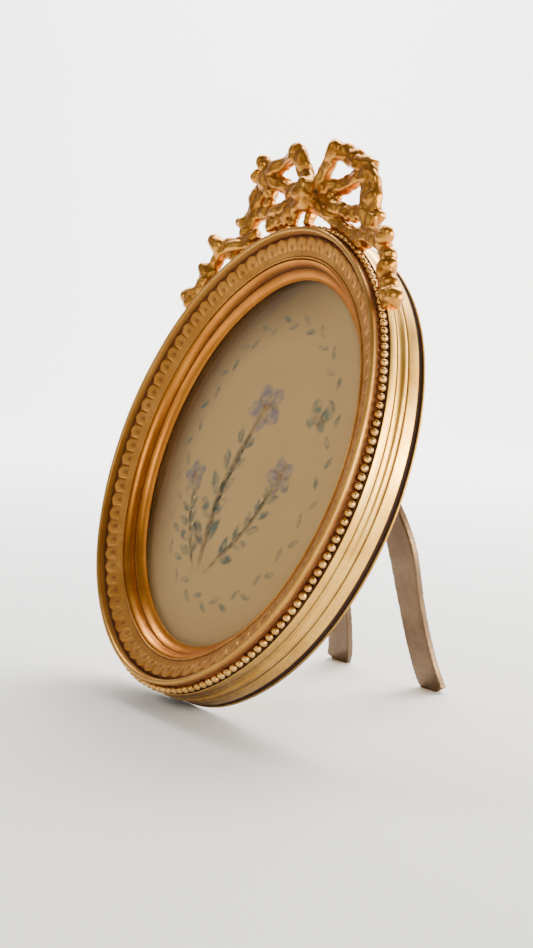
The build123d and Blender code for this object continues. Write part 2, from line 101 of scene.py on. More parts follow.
def new_material(name):
    """An empty node material and its tree."""
    made = bpy.data.materials.new(name)
    made.use_nodes = True
    made.node_tree.nodes.clear()
    return made, made.node_tree


def paint(tree, **inputs):
    """Ends a material's tree in a plain surface. Input names are written with _ for a space."""
    named = {key.replace("_", " "): value for key, value in inputs.items()}
    surface = add_node(tree, "ShaderNodeBsdfPrincipled", named)
    add_node(tree, "ShaderNodeOutputMaterial", {"Surface": surface})


def add_mesh(name, points, faces, edges=()):
    """A mesh object from points and faces."""
    mesh = bpy.data.meshes.new(name)
    mesh.from_pydata([tuple(point) for point in points], list(edges), list(faces))
    mesh.update()
    return put(name, mesh)


sweep_width = 2.8
sweep_front = 1.6
sweep_back = 1.1
sweep_bend = 0.6
sweep_height = 2.4
bend_steps = 16
view_heading = math.radians(camera_turn[2])
away = Vector((-math.sin(view_heading), math.cos(view_heading), 0.0))
beside = Vector((math.cos(view_heading), math.sin(view_heading), 0.0))
run = [(-sweep_front, 0.0), (sweep_back, 0.0)]
for step in range(1, bend_steps + 1):
    turn = math.radians(90 * step / bend_steps)
    run.append((sweep_back + sweep_bend * math.sin(turn), sweep_bend * (1 - math.cos(turn))))
run.append((sweep_back + sweep_bend, sweep_height))
sweep_points = []
for depth, height in run:
    for side in (-1, 1):
        sweep_points.append(away * depth + beside * side * sweep_width / 2 + Vector((0, 0, height)))
sweep_faces = [(2 * k, 2 * k + 1, 2 * k + 3, 2 * k + 2) for k in range(len(run) - 1)]
sweep = add_mesh("studio_sweep", sweep_points, sweep_faces)
sweep.data.shade_smooth()
sweep_paper, tree = new_material("sweep_paper")
fibres = mottling(tree, 9.0, 3.0)
tint = add_node(tree, "ShaderNodeMapRange", {"Value": fibres, "To Min": 0.88, "To Max": 0.91})
paint(tree, Base_Color=tint, Roughness=0.9, Specular_IOR_Level=0.1)
sweep.data.materials.append(sweep_paper)

# Studio light.
# Two warm softboxes behind the frame's right side light its wall, a large one hangs high behind, two small
# ones stand in front, one lights the paper, and the room is dim and warm.
def softbox(name, place, target, size, power, colour):
    """Area light of a width and a height that faces a target."""
    data = bpy.data.lights.new(name, "AREA")
    data.shape = "RECTANGLE"
    data.size, data.size_y = size
    data.energy = power
    data.color = colour
    made = put(name, data)
    made.location = place
    made.rotation_euler = (Vector(target) - Vector(place)).to_track_quat("-Z", "Y").to_euler()


frame_middle = (0, 0, 0.06)
softbox("side_softbox", (1.11, 0.69, 0.2), frame_middle, (1.2, 0.5), 38.0, (1.0, 0.93, 0.78))
softbox("behind_softbox", (0.25, 1.25, 0.4), frame_middle, (0.9, 0.7), 13.0, (1.0, 0.92, 0.78))
softbox("camera_softbox", (0.75, -0.86, 0.63), frame_middle, (0.5, 0.5), 4.2, (1.0, 0.95, 0.88))
softbox("front_softbox", (-0.4, -1.0, 0.55), frame_middle, (0.7, 0.6), 1.6, (1.0, 0.94, 0.86))
softbox("back_softbox", (-0.25, 0.9, 1.3), (0, 0, 0), (0.9, 0.9), 27.0, (1.0, 0.99, 0.97))
softbox("backdrop_light", (-0.55, 0.4, 1.25), (-1.4, 1.05, 0.3), (1.0, 1.0), 75.0, (1.0, 0.99, 0.97))
world = bpy.data.worlds.new("studio_room")
world.use_nodes = True
tree = world.node_tree
tree.nodes.clear()
direction = add_node(tree, "ShaderNodeTexCoord").outputs["Generated"]
lit_side = (-0.75, 0.62, 0.1)
facing = add_node(tree, "ShaderNodeVectorMath", {0: direction, 1: lit_side}, operation="DOT_PRODUCT")
brightness = add_node(tree, "ShaderNodeMapRange", {
    "Value": facing.outputs["Value"], "From Min": 0.2, "From Max": 0.9, "To Min": 0.13, "To Max": 0.8})
room = add_node(tree, "ShaderNodeBackground", {"Color": (1.0, 0.97, 0.93, 1.0), "Strength": brightness})
add_node(tree, "ShaderNodeOutputWorld", {"Surface": room})
bpy.context.scene.world = world

# Rim casting.
# The outer moulding, cast in brass and fire gilt: back lip, cavetto in painted shade, two flat bands with an
# ogee between fine lines, and the rebate for the beads. It is drawn flat, front up, and leaned back with the
# whole frame.
mm = 0.001
turn_joint = next(joint for joint in frame["joints"] if joint["name"] == "clip_1_turn")
out_of_front = Vector(turn_joint["axis"])
up_the_frame = Vector((0.0, out_of_front.z, -out_of_front.y))
rim_corners = [vertex.co for vertex in nodes["rim"].data.vertices]
rim_heights = [corner.dot(up_the_frame) for corner in rim_corners]
back_level = min(corner.dot(out_of_front) for corner in rim_corners)
half_height = (max(rim_heights) - min(rim_heights)) / 2
half_width = max(corner.x for corner in rim_corners)
middle = up_the_frame * (max(rim_heights) + min(rim_heights)) / 2 + out_of_front * back_level


def stand(origin, across, up, out):
    """The turn and move that take a piece drawn flat to its place in the world."""
    return Matrix.Translation(origin) @ Matrix((across, up, out)).transposed().to_4x4()


home = stand(middle, (1, 0, 0), up_the_frame, out_of_front)
side_arc_end = math.radians(25.0)
end_arc_start = math.radians(62.0)
shoulder_radius = 1.02 * math.sqrt(half_width * half_height)


def oval_arcs():
    """Centre, radius and angles of the eight tangent arcs that make the oval, from the right side round."""
    low, high, half_turn = side_arc_end, end_arc_start, math.pi
    a11, a12 = 1 - math.cos(low), math.cos(high)
    a21, a22 = math.sin(low), 1 - math.sin(high)
    b1 = half_width - shoulder_radius * (math.cos(low) - math.cos(high))
    b2 = half_height - shoulder_radius * (math.sin(high) - math.sin(low))
    det = a11 * a22 - a12 * a21
    side = (b1 * a22 - a12 * b2) / det
    end = (a11 * b2 - a21 * b1) / det
    sx = half_width - side
    mx, my = sx + (side - shoulder_radius) * math.cos(low), (side - shoulder_radius) * math.sin(low)
    ey = half_height - end
    return [
        (sx, 0, side, -low, low),
        (mx, my, shoulder_radius, low, high),
        (0, ey, end, high, half_turn - high),
        (-mx, my, shoulder_radius, half_turn - high, half_turn - low),
        (-sx, 0, side, half_turn - low, half_turn + low),
        (-mx, -my, shoulder_radius, half_turn + low, half_turn + high),
        (0, -ey, end, half_turn + high, 2 * half_turn - high),
        (mx, -my, shoulder_radius, 2 * half_turn - high, 2 * half_turn - low),
    ]


def on_oval(share, inset):
    """Point of the oval at a share of its whole length from the right side, inset from the outline."""
    arcs = oval_arcs()
    lengths = [(radius - inset) * (stop - start) for _, _, radius, start, stop in arcs]
    along = ((share % 1.0) * sum(lengths) + lengths[0] / 2) % sum(lengths)
    for (x, y, radius, start, stop), length in zip(arcs, lengths):
        if along <= length:
            break
        along -= length
    turn = start + (stop - start) * along / length
    return Vector((x + (radius - inset) * math.cos(turn), y + (radius - inset) * math.sin(turn), 0.0))


loop_points = 960


def oval_loop(name, inset, first_share=0.0):
    """Closed line of edges round the oval, which the mouldings and the rows of ornament follow."""
    points = [on_oval(first_share + k / loop_points, inset) for k in range(loop_points)]
    return add_mesh(name, points, [], [(k, (k + 1) % loop_points) for k in range(loop_points)])


def new_group(name, kind, inputs, outputs):
    """Node group with named sockets, its entry and its exit. Inputs are (name, type, first value)."""
    made = bpy.data.node_groups.new(name, kind + "NodeTree")
    for label, socket_type, value in inputs:
        socket = made.interface.new_socket(label, in_out="INPUT", socket_type="NodeSocket" + socket_type)
        if value is not None:
            socket.default_value = value
    for label, socket_type in outputs:
        made.interface.new_socket(label, in_out="OUTPUT", socket_type="NodeSocket" + socket_type)
    return made, add_node(made, "NodeGroupInput"), add_node(made, "NodeGroupOutput")


def end_tree(tree, shape, entry, leave):
    """Ends a geometry tree: its instances are made real and the shape gets its finish."""
    real = add_node(tree, "GeometryNodeRealizeInstances", {"Geometry": shape})
    finish = entry.outputs["Finish"]
    dressed = add_node(tree, "GeometryNodeSetMaterial", {"Geometry": real, "Material": finish})
    tree.links.new(dressed.outputs[0], leave.inputs[0])


def set_inputs(piece, group, **values):
    """Adds the node group to the piece as a modifier and sets its inputs by their identifiers."""
    modifier = piece.modifiers.new(group.name, "NODES")
    modifier.node_group = group
    for item in group.interface.items_tree:
        label = item.name.replace(" ", "_")
        if item.in_out == "INPUT" and label in values:
            modifier[item.identifier] = values[label]


def settle(name, source, place=None):
    """The evaluated shape of an object as a plain mesh of its own, in its place, with its faces outwards."""
    bpy.context.view_layer.update()
    graph = bpy.context.evaluated_depsgraph_get()
    mesh = bpy.data.meshes.new_from_object(source.evaluated_get(graph), depsgraph=graph)
    mesh.name = name
    if place is not None:
        mesh.transform(place)
    shape = bmesh.new()
    shape.from_mesh(mesh)
    bmesh.ops.recalc_face_normals(shape, faces=shape.faces)
    shape.to_mesh(mesh)
    shape.free()
    bpy.data.objects.remove(source)
    return put(name, mesh)


def write_values(piece, label, values):
    """Writes a number at each point of the piece's mesh, for its finish to read."""
    piece.data.attributes.new(label, "FLOAT", "POINT").data.foreach_set("value", values)


def fit(piece, body, slot, *stood_for):
    """Fixes a piece to its body and puts it in the place of the plain solids. The slot is not used."""
    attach(piece, body)
    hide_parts(*stood_for)


moulding_tree, entry, leave = new_group("moulding_round_oval", "Geometry", [
    ("Geometry", "Geometry", None),
    ("Oval Line", "Object", None),
    ("Stations", "Int", 480),
    ("Corner Radius", "Float", 0.00008),
    ("Unevenness", "Float", 0.00003),
    ("Finish", "Material", None),
], [("Geometry", "Geometry")])
tree = moulding_tree
path = add_node(tree, "GeometryNodeObjectInfo", {"Object": entry.outputs["Oval Line"]})
path = add_node(tree, "GeometryNodeMeshToCurve", {"Mesh": path.outputs["Geometry"]})
path = add_node(tree, "GeometryNodeResampleCurve", {"Curve": path, "Count": entry.outputs["Stations"]})
path = add_node(tree, "GeometryNodeSetCurveNormal", {"Curve": path}, mode="Z_UP")
section = add_node(tree, "GeometryNodeMeshToCurve", {"Mesh": entry.outputs["Geometry"]})
section = add_node(tree, "GeometryNodeFilletCurve", {
    "Curve": section, "Radius": entry.outputs["Corner Radius"], "Count": 2, "Limit Radius": True,
}, mode="POLY")
swept = add_node(tree, "GeometryNodeCurveToMesh", {"Curve": path, "Profile Curve": section})
lift = add_node(tree, "ShaderNodeMath", {0: mottling(tree, 260.0, 2.0), 1: 0.5}, operation="SUBTRACT")
lift = add_node(tree, "ShaderNodeMath", {0: lift, 1: entry.outputs["Unevenness"]}, operation="MULTIPLY")
outward = add_node(tree, "GeometryNodeInputNormal")
shift = add_node(tree, "ShaderNodeVectorMath", {0: outward, "Scale": lift}, operation="SCALE")
moved = add_node(tree, "GeometryNodeSetPosition", {"Geometry": swept, "Offset": shift})
smooth = add_node(tree, "GeometryNodeSetShadeSmooth", {"Geometry": moved, "Shade Smooth": True})
end_tree(tree, smooth, entry, leave)

outline = oval_loop("outline_of_the_oval", 0.0)
# Painted shade on downward faces begins at the first of these shares of the normal pointing down and is full
# at the second.
least_downward = 0.15
full_downward = 0.9


def arc(start, through, end, steps=6):
    """Points after the start on the circle through three (inset, level, tarnish and painted shade) points."""
    (x1, y1, t1), (x2, y2, _), (x3, y3, t3) = start, through, end
    d = 2 * (x1 * (y2 - y3) + x2 * (y3 - y1) + x3 * (y1 - y2))
    q1, q2, q3 = x1 * x1 + y1 * y1, x2 * x2 + y2 * y2, x3 * x3 + y3 * y3
    cx = (q1 * (y2 - y3) + q2 * (y3 - y1) + q3 * (y1 - y2)) / d
    cy = (q1 * (x3 - x2) + q2 * (x1 - x3) + q3 * (x2 - x1)) / d
    radius = math.hypot(x1 - cx, y1 - cy)
    first, by_middle, last = [math.atan2(y - cy, x - cx) for x, y in ((x1, y1), (x2, y2), (x3, y3))]
    turn = (last - first) % (2 * math.pi)
    if (by_middle - first) % (2 * math.pi) > turn:
        turn -= 2 * math.pi
    points = []
    for k in range(1, steps + 1):
        angle = first + turn * k / steps
        tarnish = t1 + (t3 - t1) * k / steps
        points.append((cx + radius * math.cos(angle), cy + radius * math.sin(angle), tarnish))
    return points


def add_underside_shade(piece, most):
    """Adds painted shade where the surface looks down at the table."""
    mesh = piece.data
    normals = np.empty(len(mesh.vertices) * 3)
    mesh.vertices.foreach_get("normal", normals)
    downward = (-normals.reshape(-1, 3)[:, 2] - least_downward) / (full_downward - least_downward)
    values = np.empty(len(mesh.vertices))
    tarnish = mesh.attributes["tarnish"].data
    tarnish.foreach_get("value", values)
    tarnish.foreach_set("value", np.clip(values + most * np.clip(downward, 0.0, 1.0), 0.0, 1.0))


def moulding(name, section_points, finish, under=0.85):
    """A section of (inset, level, tarnish and painted shade) points in millimetres, carried round the oval,
    with painted shade on its downward faces.
    """
    count = len(section_points)
    flat = [(-inset * mm, -level * mm, 0.0) for inset, level, _ in section_points]
    made = add_mesh(name + "_section", flat, [], [(k, (k + 1) % count) for k in range(count)])
    write_values(made, "tarnish", [tarnish for _, _, tarnish in section_points])
    set_inputs(made, moulding_tree, Oval_Line=outline, Stations=480, Corner_Radius=0.08 * mm,
               Unevenness=0.03 * mm, Finish=finish)
    carried = settle(name, made, home)
    # Downward faces get painted shade, as much as under says.
    add_underside_shade(carried, under)
    return carried


gilding, entry, leave = new_group("aged_gilding", "Shader", [
    ("Light Gold", "Color", (0.8, 0.5, 0.2, 1.0)),
    ("Deep Gold", "Color", (0.6, 0.3, 0.1, 1.0)),
    ("Grime", "Color", (0.05, 0.02, 0.01, 1.0)),
    ("Tarnish", "Float", 0.0),
    ("Handling", "Float", 0.3),
    ("Roughness", "Float", 0.35),
    ("Relief", "Float", 0.3),
], [("Color", "Color"), ("Roughness", "Float"), ("Metallic", "Float"), ("Normal", "Vector")])


def sum_of(tree, value, times, plus, **settings):
    """A value multiplied and added to."""
    terms = {0: value, 1: times, 2: plus}
    return add_node(tree, "ShaderNodeMath", terms, operation="MULTIPLY_ADD", **settings)


place = add_node(gilding, "ShaderNodeTexCoord").outputs["Object"]
blotches = mottling(gilding, 130.0, 3.0, Vector=place)
mottle = mottling(gilding, 1100.0, 4.0, Vector=place)
grain = mottling(gilding, 5200.0, 2.0, Vector=place)
tone = add_node(gilding, "ShaderNodeMapRange", {"Value": blotches, "From Min": 0.36, "From Max": 0.64})
gold = add_node(gilding, "ShaderNodeMix", {
    0: tone, 6: entry.outputs["Deep Gold"], 7: entry.outputs["Light Gold"]}, data_type="RGBA")
spots = add_node(gilding, "ShaderNodeMapRange", {"Value": mottle, "From Min": 0.4, "From Max": 0.75})
# Painted shade as well as tarnish comes in through the tarnish input; with the handling spots it mixes the
# gold towards the grime colour.
dirt_and_shade = sum_of(gilding, spots, entry.outputs["Handling"], entry.outputs["Tarnish"], use_clamp=True)
shade = add_node(gilding, "ShaderNodeMix", {
    0: dirt_and_shade, 6: gold.outputs[2], 7: entry.outputs["Grime"]}, data_type="RGBA")
gilding.links.new(shade.outputs[2], leave.inputs["Color"])
dull = sum_of(gilding, dirt_and_shade, 0.45, entry.outputs["Roughness"])
dull = sum_of(gilding, grain, 0.12, dull, use_clamp=True)
gilding.links.new(dull.outputs[0], leave.inputs["Roughness"])
bare = sum_of(gilding, dirt_and_shade, -0.5, 1.0)
gilding.links.new(bare.outputs[0], leave.inputs["Metallic"])
relief = add_node(gilding, "ShaderNodeBump", {
    "Strength": entry.outputs["Relief"], "Distance": 0.00006, "Height": sum_of(gilding, mottle, 1.6, grain)})
gilding.links.new(relief.outputs[0], leave.inputs["Normal"])


def metal(name, light, deep, grime_and_shade, handling, roughness, relief_strength):
    """Metal finish with the aged gilding's colours, darkened where the piece's attribute of tarnish and
    painted shade says so.
    """
    made, tree = new_material(name)
    tarnish = add_node(tree, "ShaderNodeAttribute", attribute_name="tarnish")
    skin = add_node(tree, "ShaderNodeGroup", node_tree=gilding)
    tree.links.new(tarnish.outputs["Fac"], skin.inputs["Tarnish"])
    for label, value in (("Light Gold", light), ("Deep Gold", deep), ("Grime", grime_and_shade)):
        skin.inputs[label].default_value = (*value, 1.0)
    for label, value in (("Handling", handling), ("Roughness", roughness), ("Relief", relief_strength)):
        skin.inputs[label].default_value = value
    paint(tree, Base_Color=skin.outputs["Color"], Roughness=skin.outputs["Roughness"],
          Metallic=skin.outputs["Metallic"], Normal=skin.outputs["Normal"])
    return made


rim_gilt = metal("rim_gilding", (0.94, 0.56, 0.12), (0.81, 0.41, 0.07), (0.035, 0.012, 0.004),
                 0.12, 0.25, 0.12)

# A section's points: inset from the outline and level above the back, in millimetres, and tarnish with
# painted shade
lip_height = 0.5
cavetto_top = 2.0
lower_line = 5.0
ogee_base = 5.5
ogee_middle = 7.3
ogee_top = 8.6
upper_line_top = 9.1
corner_level = 11.2
corner_inset = 0.8
plate_top = 10.5
plate_bottom = 9.1
plate_inner = 9.28
rim_wall = 4.4
# In the cavetto, the fine lines and the hidden rebate, tarnish values near 1 are painted shade with some
# tarnish.
rim_section = [(0.0, 0.0, 0.4), (0.0, lip_height, 0.35)]
rim_section += arc((0.0, lip_height, 1.0), (0.8, 1.25, 1.0), (0.2, cavetto_top, 1.0))
rim_section += [(0.22, 2.2, 0.0), (0.35, lower_line, 0.05), (0.65, 5.25, 0.9), (0.5, ogee_base, 0.1)]
rim_section += arc((0.5, ogee_base, 0.1), (0.1, 6.4, 0.0), (0.42, ogee_middle, 0.0))
rim_section += arc((0.42, ogee_middle, 0.0), (0.62, 7.9, 0.0), (0.6, ogee_top, 0.1))
rim_section += [(0.9, 8.85, 0.9), (0.6, upper_line_top, 0.1), (0.6, corner_level, 0.0)]
rim_section += [(corner_inset, corner_level, 0.3), (corner_inset, plate_top, 1.0)]
rim_section += [(plate_inner, plate_top, 1.0), (plate_inner, plate_bottom, 1.0)]
rim_section += [(rim_wall, plate_bottom, 0.6), (rim_wall, 0.0, 0.5)]
rim = moulding("rim_casting", rim_section, rim_gilt)
fit(rim, "frame", "gilt_metal", "rim")

# Bead row.
# A strip of beads, rolled in one piece and let into the rebate behind the front corner. The strip and the
# beads' feet are darkened with painted shade and some tarnish between the beads; their crowns stay bright.
strip_outer = 0.86
strip_inner = 2.26
strip_top = 11.55
# The strip's near-black finish is painted shade in the gaps between the beads, with some tarnish.
strip_gilt = metal("bead_strip_tarnish", (0.22, 0.08, 0.02), (0.12, 0.035, 0.008), (0.02, 0.008, 0.003),
                   0.5, 0.42, 0.4)
strip_section = [(strip_outer, plate_top, 1.0), (strip_outer, corner_level, 0.5), (1.2, strip_top, 0.5)]
strip_section += [(1.9, strip_top, 0.6), (strip_inner, corner_level, 0.8), (strip_inner, plate_top, 1.0)]
strip = moulding("bead_strip", strip_section, strip_gilt)
fit(strip, "frame", "gilt_beads", "bead_row")

row_tree, entry, leave = new_group("ornament_round_oval", "Geometry", [
    ("Geometry", "Geometry", None),
    ("Ornament", "Object", None),
    ("Count", "Int", 160),
    ("Level", "Float", 0.012),
    ("Size Spread", "Float", 0.05),
    ("Turn Spread", "Float", 0.0),
    ("Seed", "Int", 4),
    ("Finish", "Material", None),
], [("Geometry", "Geometry")])
tree = row_tree


def spread(tree, least, most, seed):
    """A random number for each point between two limits."""
    made = add_node(tree, "FunctionNodeRandomValue", {2: least, 3: most, "Seed": seed}, data_type="FLOAT")
    return made.outputs[1]


path = add_node(tree, "GeometryNodeMeshToCurve", {"Mesh": entry.outputs["Geometry"]})
path = add_node(tree, "GeometryNodeResampleCurve", {"Curve": path, "Count": entry.outputs["Count"]})
height = add_node(tree, "ShaderNodeCombineXYZ", {"Z": entry.outputs["Level"]})
path = add_node(tree, "GeometryNodeSetPosition", {"Geometry": path, "Offset": height})
one = add_node(tree, "GeometryNodeObjectInfo", {"Object": entry.outputs["Ornament"]})
along = add_node(tree, "GeometryNodeInputTangent")
turned = add_node(tree, "FunctionNodeAlignRotationToVector", {"Vector": along}, axis="X", pivot_axis="Z")
least = add_node(tree, "ShaderNodeMath", {0: 1.0, 1: entry.outputs["Size Spread"]}, operation="SUBTRACT")
most = add_node(tree, "ShaderNodeMath", {0: 1.0, 1: entry.outputs["Size Spread"]}, operation="ADD")
size = spread(tree, least, most, entry.outputs["Seed"])
back_turn = add_node(tree, "ShaderNodeMath", {0: entry.outputs["Turn Spread"], 1: -1.0}, operation="MULTIPLY")
spin = add_node(tree, "ShaderNodeCombineXYZ", {
    "Z": spread(tree, back_turn, entry.outputs["Turn Spread"], entry.outputs["Seed"])})
turned = add_node(tree, "FunctionNodeRotateRotation", {0: turned, 1: spin}, rotation_space="LOCAL")
row = add_node(tree, "GeometryNodeInstanceOnPoints", {
    "Points": path, "Instance": one.outputs["Geometry"], "Rotation": turned, "Scale": size})
end_tree(tree, row, entry, leave)


def turned_shape(rings, sides, bottom, top):
    """Points and faces of a piece turned on a lathe, from its (radius, level) rings between two poles."""
    points = [(0.0, 0.0, bottom)]
    for radius, level in rings:
        for side in range(sides):
            turn = 2 * math.pi * side / sides
            points.append((radius * math.cos(turn), radius * math.sin(turn), level))
    points.append((0.0, 0.0, top))
    last = len(points) - 1
    faces = []
    for side in range(sides):
        after = (side + 1) % sides
        faces.append((0, 1 + after, 1 + side))
        for ring in range(len(rings) - 1):
            a, b = 1 + ring * sides, 1 + (ring + 1) * sides
            faces.append((a + side, a + after, b + after, b + side))
        faces.append((last - sides + side, last - sides + after, last))
    return points, faces


bead_gilt = metal("bead_gilding", (0.90, 0.53, 0.155), (0.68, 0.345, 0.075), (0.05, 0.018, 0.006),
                  0.25, 0.16, 0.3)
bead_radius = 0.93 * mm
bead_half_height = 1.02 * mm
bead_inset = 1.56 * mm
bead_level = 12.25 * mm
bead_count = 164
bead_sides = 12
bead_rings = 7
bead_fullness = 0.85
first_bead_share = 0.124
bead_section = []
for ring in range(1, bead_rings):
    polar = math.pi * ring / bead_rings
    bead_section.append((bead_radius * math.sin(polar) ** bead_fullness, -bead_half_height * math.cos(polar)))
bead_points, bead_faces = turned_shape(bead_section, bead_sides, -bead_half_height, bead_half_height)
one_bead = add_mesh("one_bead", bead_points, bead_faces)
one_bead.data.shade_smooth()
# Painted shade: each bead darkens towards its foot on the strip.
bead_base_shade = [max(0.0, 0.5 - 0.9 * z / bead_half_height) ** 1.5 for _, _, z in bead_points]
write_values(one_bead, "tarnish", bead_base_shade)
bead_line = oval_loop("line_of_the_beads", bead_inset, first_bead_share)
set_inputs(bead_line, row_tree, Ornament=one_bead, Count=bead_count, Level=bead_level, Size_Spread=0.04,
           Turn_Spread=0.6, Seed=11, Finish=bead_gilt)
beads = settle("beads", bead_line, home)
bpy.data.objects.remove(one_bead)
fit(beads, "frame", "gilt_beads", "bead_row")

# Front ring.
# A plain half-round ring inside the beads, gilt and burnished on its crown; painted shade makes its walls
# copper-brown.
ring_gilt = metal("ring_gilding", (0.64, 0.34, 0.08), (0.53, 0.26, 0.055), (0.24, 0.08, 0.018),
                  0.14, 0.32, 0.15)
ring_outer = 2.32
ring_inner = 3.6
ring_wall_top = 14.35
ring_foot = 13.3
# The high tarnish values on the ring's walls are painted shade in the copper-brown grime colour.
ring_section = [(ring_outer, plate_top, 1.0), (ring_outer, 13.2, 0.95), (ring_outer, 13.9, 0.8)]
ring_section += [(ring_outer, ring_wall_top, 0.1)]
ring_section += arc((ring_outer, ring_wall_top, 0.1), (2.7, 15.4, 0.0), (3.45, 14.8, 0.0), 10)
ring_section += [(3.58, 14.1, 0.15), (ring_inner, ring_foot, 0.9), (ring_inner, plate_top, 1.0)]
front_ring = moulding("front_ring_gilt", ring_section, ring_gilt, under=0.25)
fit(front_ring, "frame", "gilt_metal", "front_ring")

# Leaf-tip band.
# A sloping band stamped with a row of leaf tips that point out to the ring. Each leaf has a vein and a deep
# eye. Painted shade with some tarnish darkens the ground between the leaves, their eyes and their edges.
leaf_gilt = metal("leaf_gilding", (0.69, 0.32, 0.065), (0.55, 0.235, 0.04), (0.12, 0.035, 0.008),
                  0.22, 0.31, 0.3)
band_outer = 3.66
band_edge = 9.28
leaf_outer = 4.25
leaf_outer_level = 13.55
leaf_inner = 8.5
leaf_inner_level = 11.7
# The high tarnish values in the band's grooves are painted shade with some tarnish.
band_section = [(band_outer, plate_top, 1.0), (band_outer, ring_foot, 1.0), (leaf_outer, 13.4, 0.9)]
band_section += [(4.75, 13.3, 0.6), (5.3, 13.05, 0.1), (leaf_inner, leaf_inner_level, 0.1)]
band_section += [(8.7, leaf_inner_level - 0.1, 0.6), (8.95, leaf_inner_level + 0.25, 0.0)]
band_section += [(band_edge, leaf_inner_level, 0.1), (band_edge, plate_top, 1.0)]
band = moulding("leaf_band_ground", band_section, leaf_gilt)
fit(band, "frame", "gilt_metal", "leaf_band")
leaf_count = 81
leaf_half_pitch = 2.0 * mm
leaf_length = 4.3 * mm
leaf_height = 0.26 * mm
leaf_sink = 0.3 * mm
leaf_burial = 0.3 * mm
leaf_rows = 11
leaf_columns = 10
leaf_taper = 0.08
leaf_tip_share = 0.24
tip_bluntness = 0.06
fade_start = 0.35
burial_start = 0.6
eye_place = 0.56
eye_breadth = 0.34
eye_length = 0.2
eye_depth = 0.8
vein_breadth = 0.18
vein_depth = 0.14
slope = math.atan2(leaf_outer_level - leaf_inner_level, leaf_inner - leaf_outer)
leaf_points = []
leaf_tarnish_and_shade = []
for r in range(leaf_rows + 1):
    b = r / leaf_rows
    breadth = 1.0 - leaf_taper * b
    if b < leaf_tip_share:
        breadth *= math.sqrt(max(tip_bluntness, 1 - (1 - b / leaf_tip_share) ** 2))
    fade = 1.0 - 0.8 * min(1.0, max(0.0, (b - fade_start) / (1 - fade_start))) ** 1.5
    for c in range(leaf_columns + 1):
        a = -1 + 2 * c / leaf_columns
        vein = vein_depth * math.exp(-(a / vein_breadth) ** 2) * (1 - b)
        eye = math.exp(-((a / eye_breadth) ** 2 + ((b - eye_place) / eye_length) ** 2))
        rise = leaf_height * ((1 - abs(a) ** 3) * fade - vein - eye_depth * eye)
        rise -= leaf_burial * max(0.0, (b - burial_start) / (1 - burial_start))
        leaf_points.append((a * breadth * leaf_half_pitch,
                            leaf_length * b * math.cos(slope) + rise * math.sin(slope),
                            -leaf_length * b * math.sin(slope) + rise * math.cos(slope)))
        # Painted shade with some tarnish: darker at the leaf's edges, its eye, its vein and its sunk rim.
        notch = abs(a) ** 5 * (1 - b) ** 2
        leaf_tarnish_and_shade.append(min(1.0, 0.8 * notch + 0.65 * eye + 0.3 * vein))
width = leaf_columns + 1
leaf_faces = []
for r in range(leaf_rows):
    for k in range(r * width, r * width + leaf_columns):
        leaf_faces.append((k, k + width, k + width + 1, k + 1))
edge_of_leaf = list(range(width)) + [r * width + leaf_columns for r in range(1, leaf_rows + 1)]
edge_of_leaf += [leaf_rows * width + c for c in range(width - 2, -1, -1)]
edge_of_leaf += [r * width for r in range(leaf_rows - 1, 0, -1)]
under = len(leaf_points)
for k in edge_of_leaf:
    x, y, z = leaf_points[k]
    leaf_points.append((x, y - leaf_sink * math.sin(slope), z - leaf_sink * math.cos(slope)))
    leaf_tarnish_and_shade.append(1.0)
edge_count = len(edge_of_leaf)
for k in range(edge_count):
    n = (k + 1) % edge_count
    leaf_faces.append((edge_of_leaf[k], edge_of_leaf[n], under + n, under + k))
leaf_faces.append(tuple(under + k for k in range(edge_count)))
one_leaf = add_mesh("one_leaf", leaf_points, leaf_faces)
one_leaf.data.shade_smooth()
write_values(one_leaf, "tarnish", leaf_tarnish_and_shade)
leaf_line = oval_loop("line_of_the_leaves", leaf_outer * mm)
set_inputs(leaf_line, row_tree, Ornament=one_leaf, Count=leaf_count, Level=leaf_outer_level * mm,
           Size_Spread=0.0, Turn_Spread=0.0, Seed=3, Finish=leaf_gilt)
leaves = settle("leaf_tips", leaf_line, home)
bpy.data.objects.remove(one_leaf)
fit(leaves, "frame", "gilt_metal", "leaf_band")

# Cove.
# The smooth inner moulding: a round band, a fine line and a hollow down to the sight edge. Its gilding is the
# best kept and the warmest of the frame.
cove_gilt = metal("cove_gilding", (0.80, 0.30, 0.04), (0.66, 0.23, 0.028), (0.10, 0.033, 0.007),
                  0.1, 0.26, 0.12)
flange_outer = 4.46
cove_outer = 9.34
cove_inner = 13.24
cove_top = 11.4
cove_line = 10.84
cove_line_top = 9.3
cove_line_bottom = 8.9
hollow_outer = 11.14
sight_top = 7.2
sight_bottom = 6.8
# The high tarnish values at the cove's corners, its fine line and the sight edge are painted shade with some
# tarnish.
cove_section = [(flange_outer, sight_bottom, 1.0), (flange_outer, plate_bottom, 1.0)]
cove_section += [(cove_outer, plate_bottom, 1.0), (cove_outer, 11.2, 0.9)]
cove_section += [(cove_outer + 0.1, cove_top, 0.1), (cove_outer + 0.3, cove_top, 0.0)]
torus = (cove_outer + 0.3, cove_top, 0.0)
cove_section += arc(torus, (10.49, 10.475, 0.0), (cove_line, cove_line_top, 0.1), 8)
cove_section += [(cove_line, cove_line_bottom, 0.8), (hollow_outer, cove_line_bottom, 0.3)]
hollow = (hollow_outer, cove_line_bottom, 0.0)
cove_section += arc(hollow, (12.04, 7.75, 0.0), (cove_inner, sight_top, 0.15), 10)
cove_section += [(cove_inner, sight_bottom, 0.8)]
cove = moulding("cove_gilt", cove_section, cove_gilt)
fit(cove, "frame", "gilt_metal", "cove_liner")

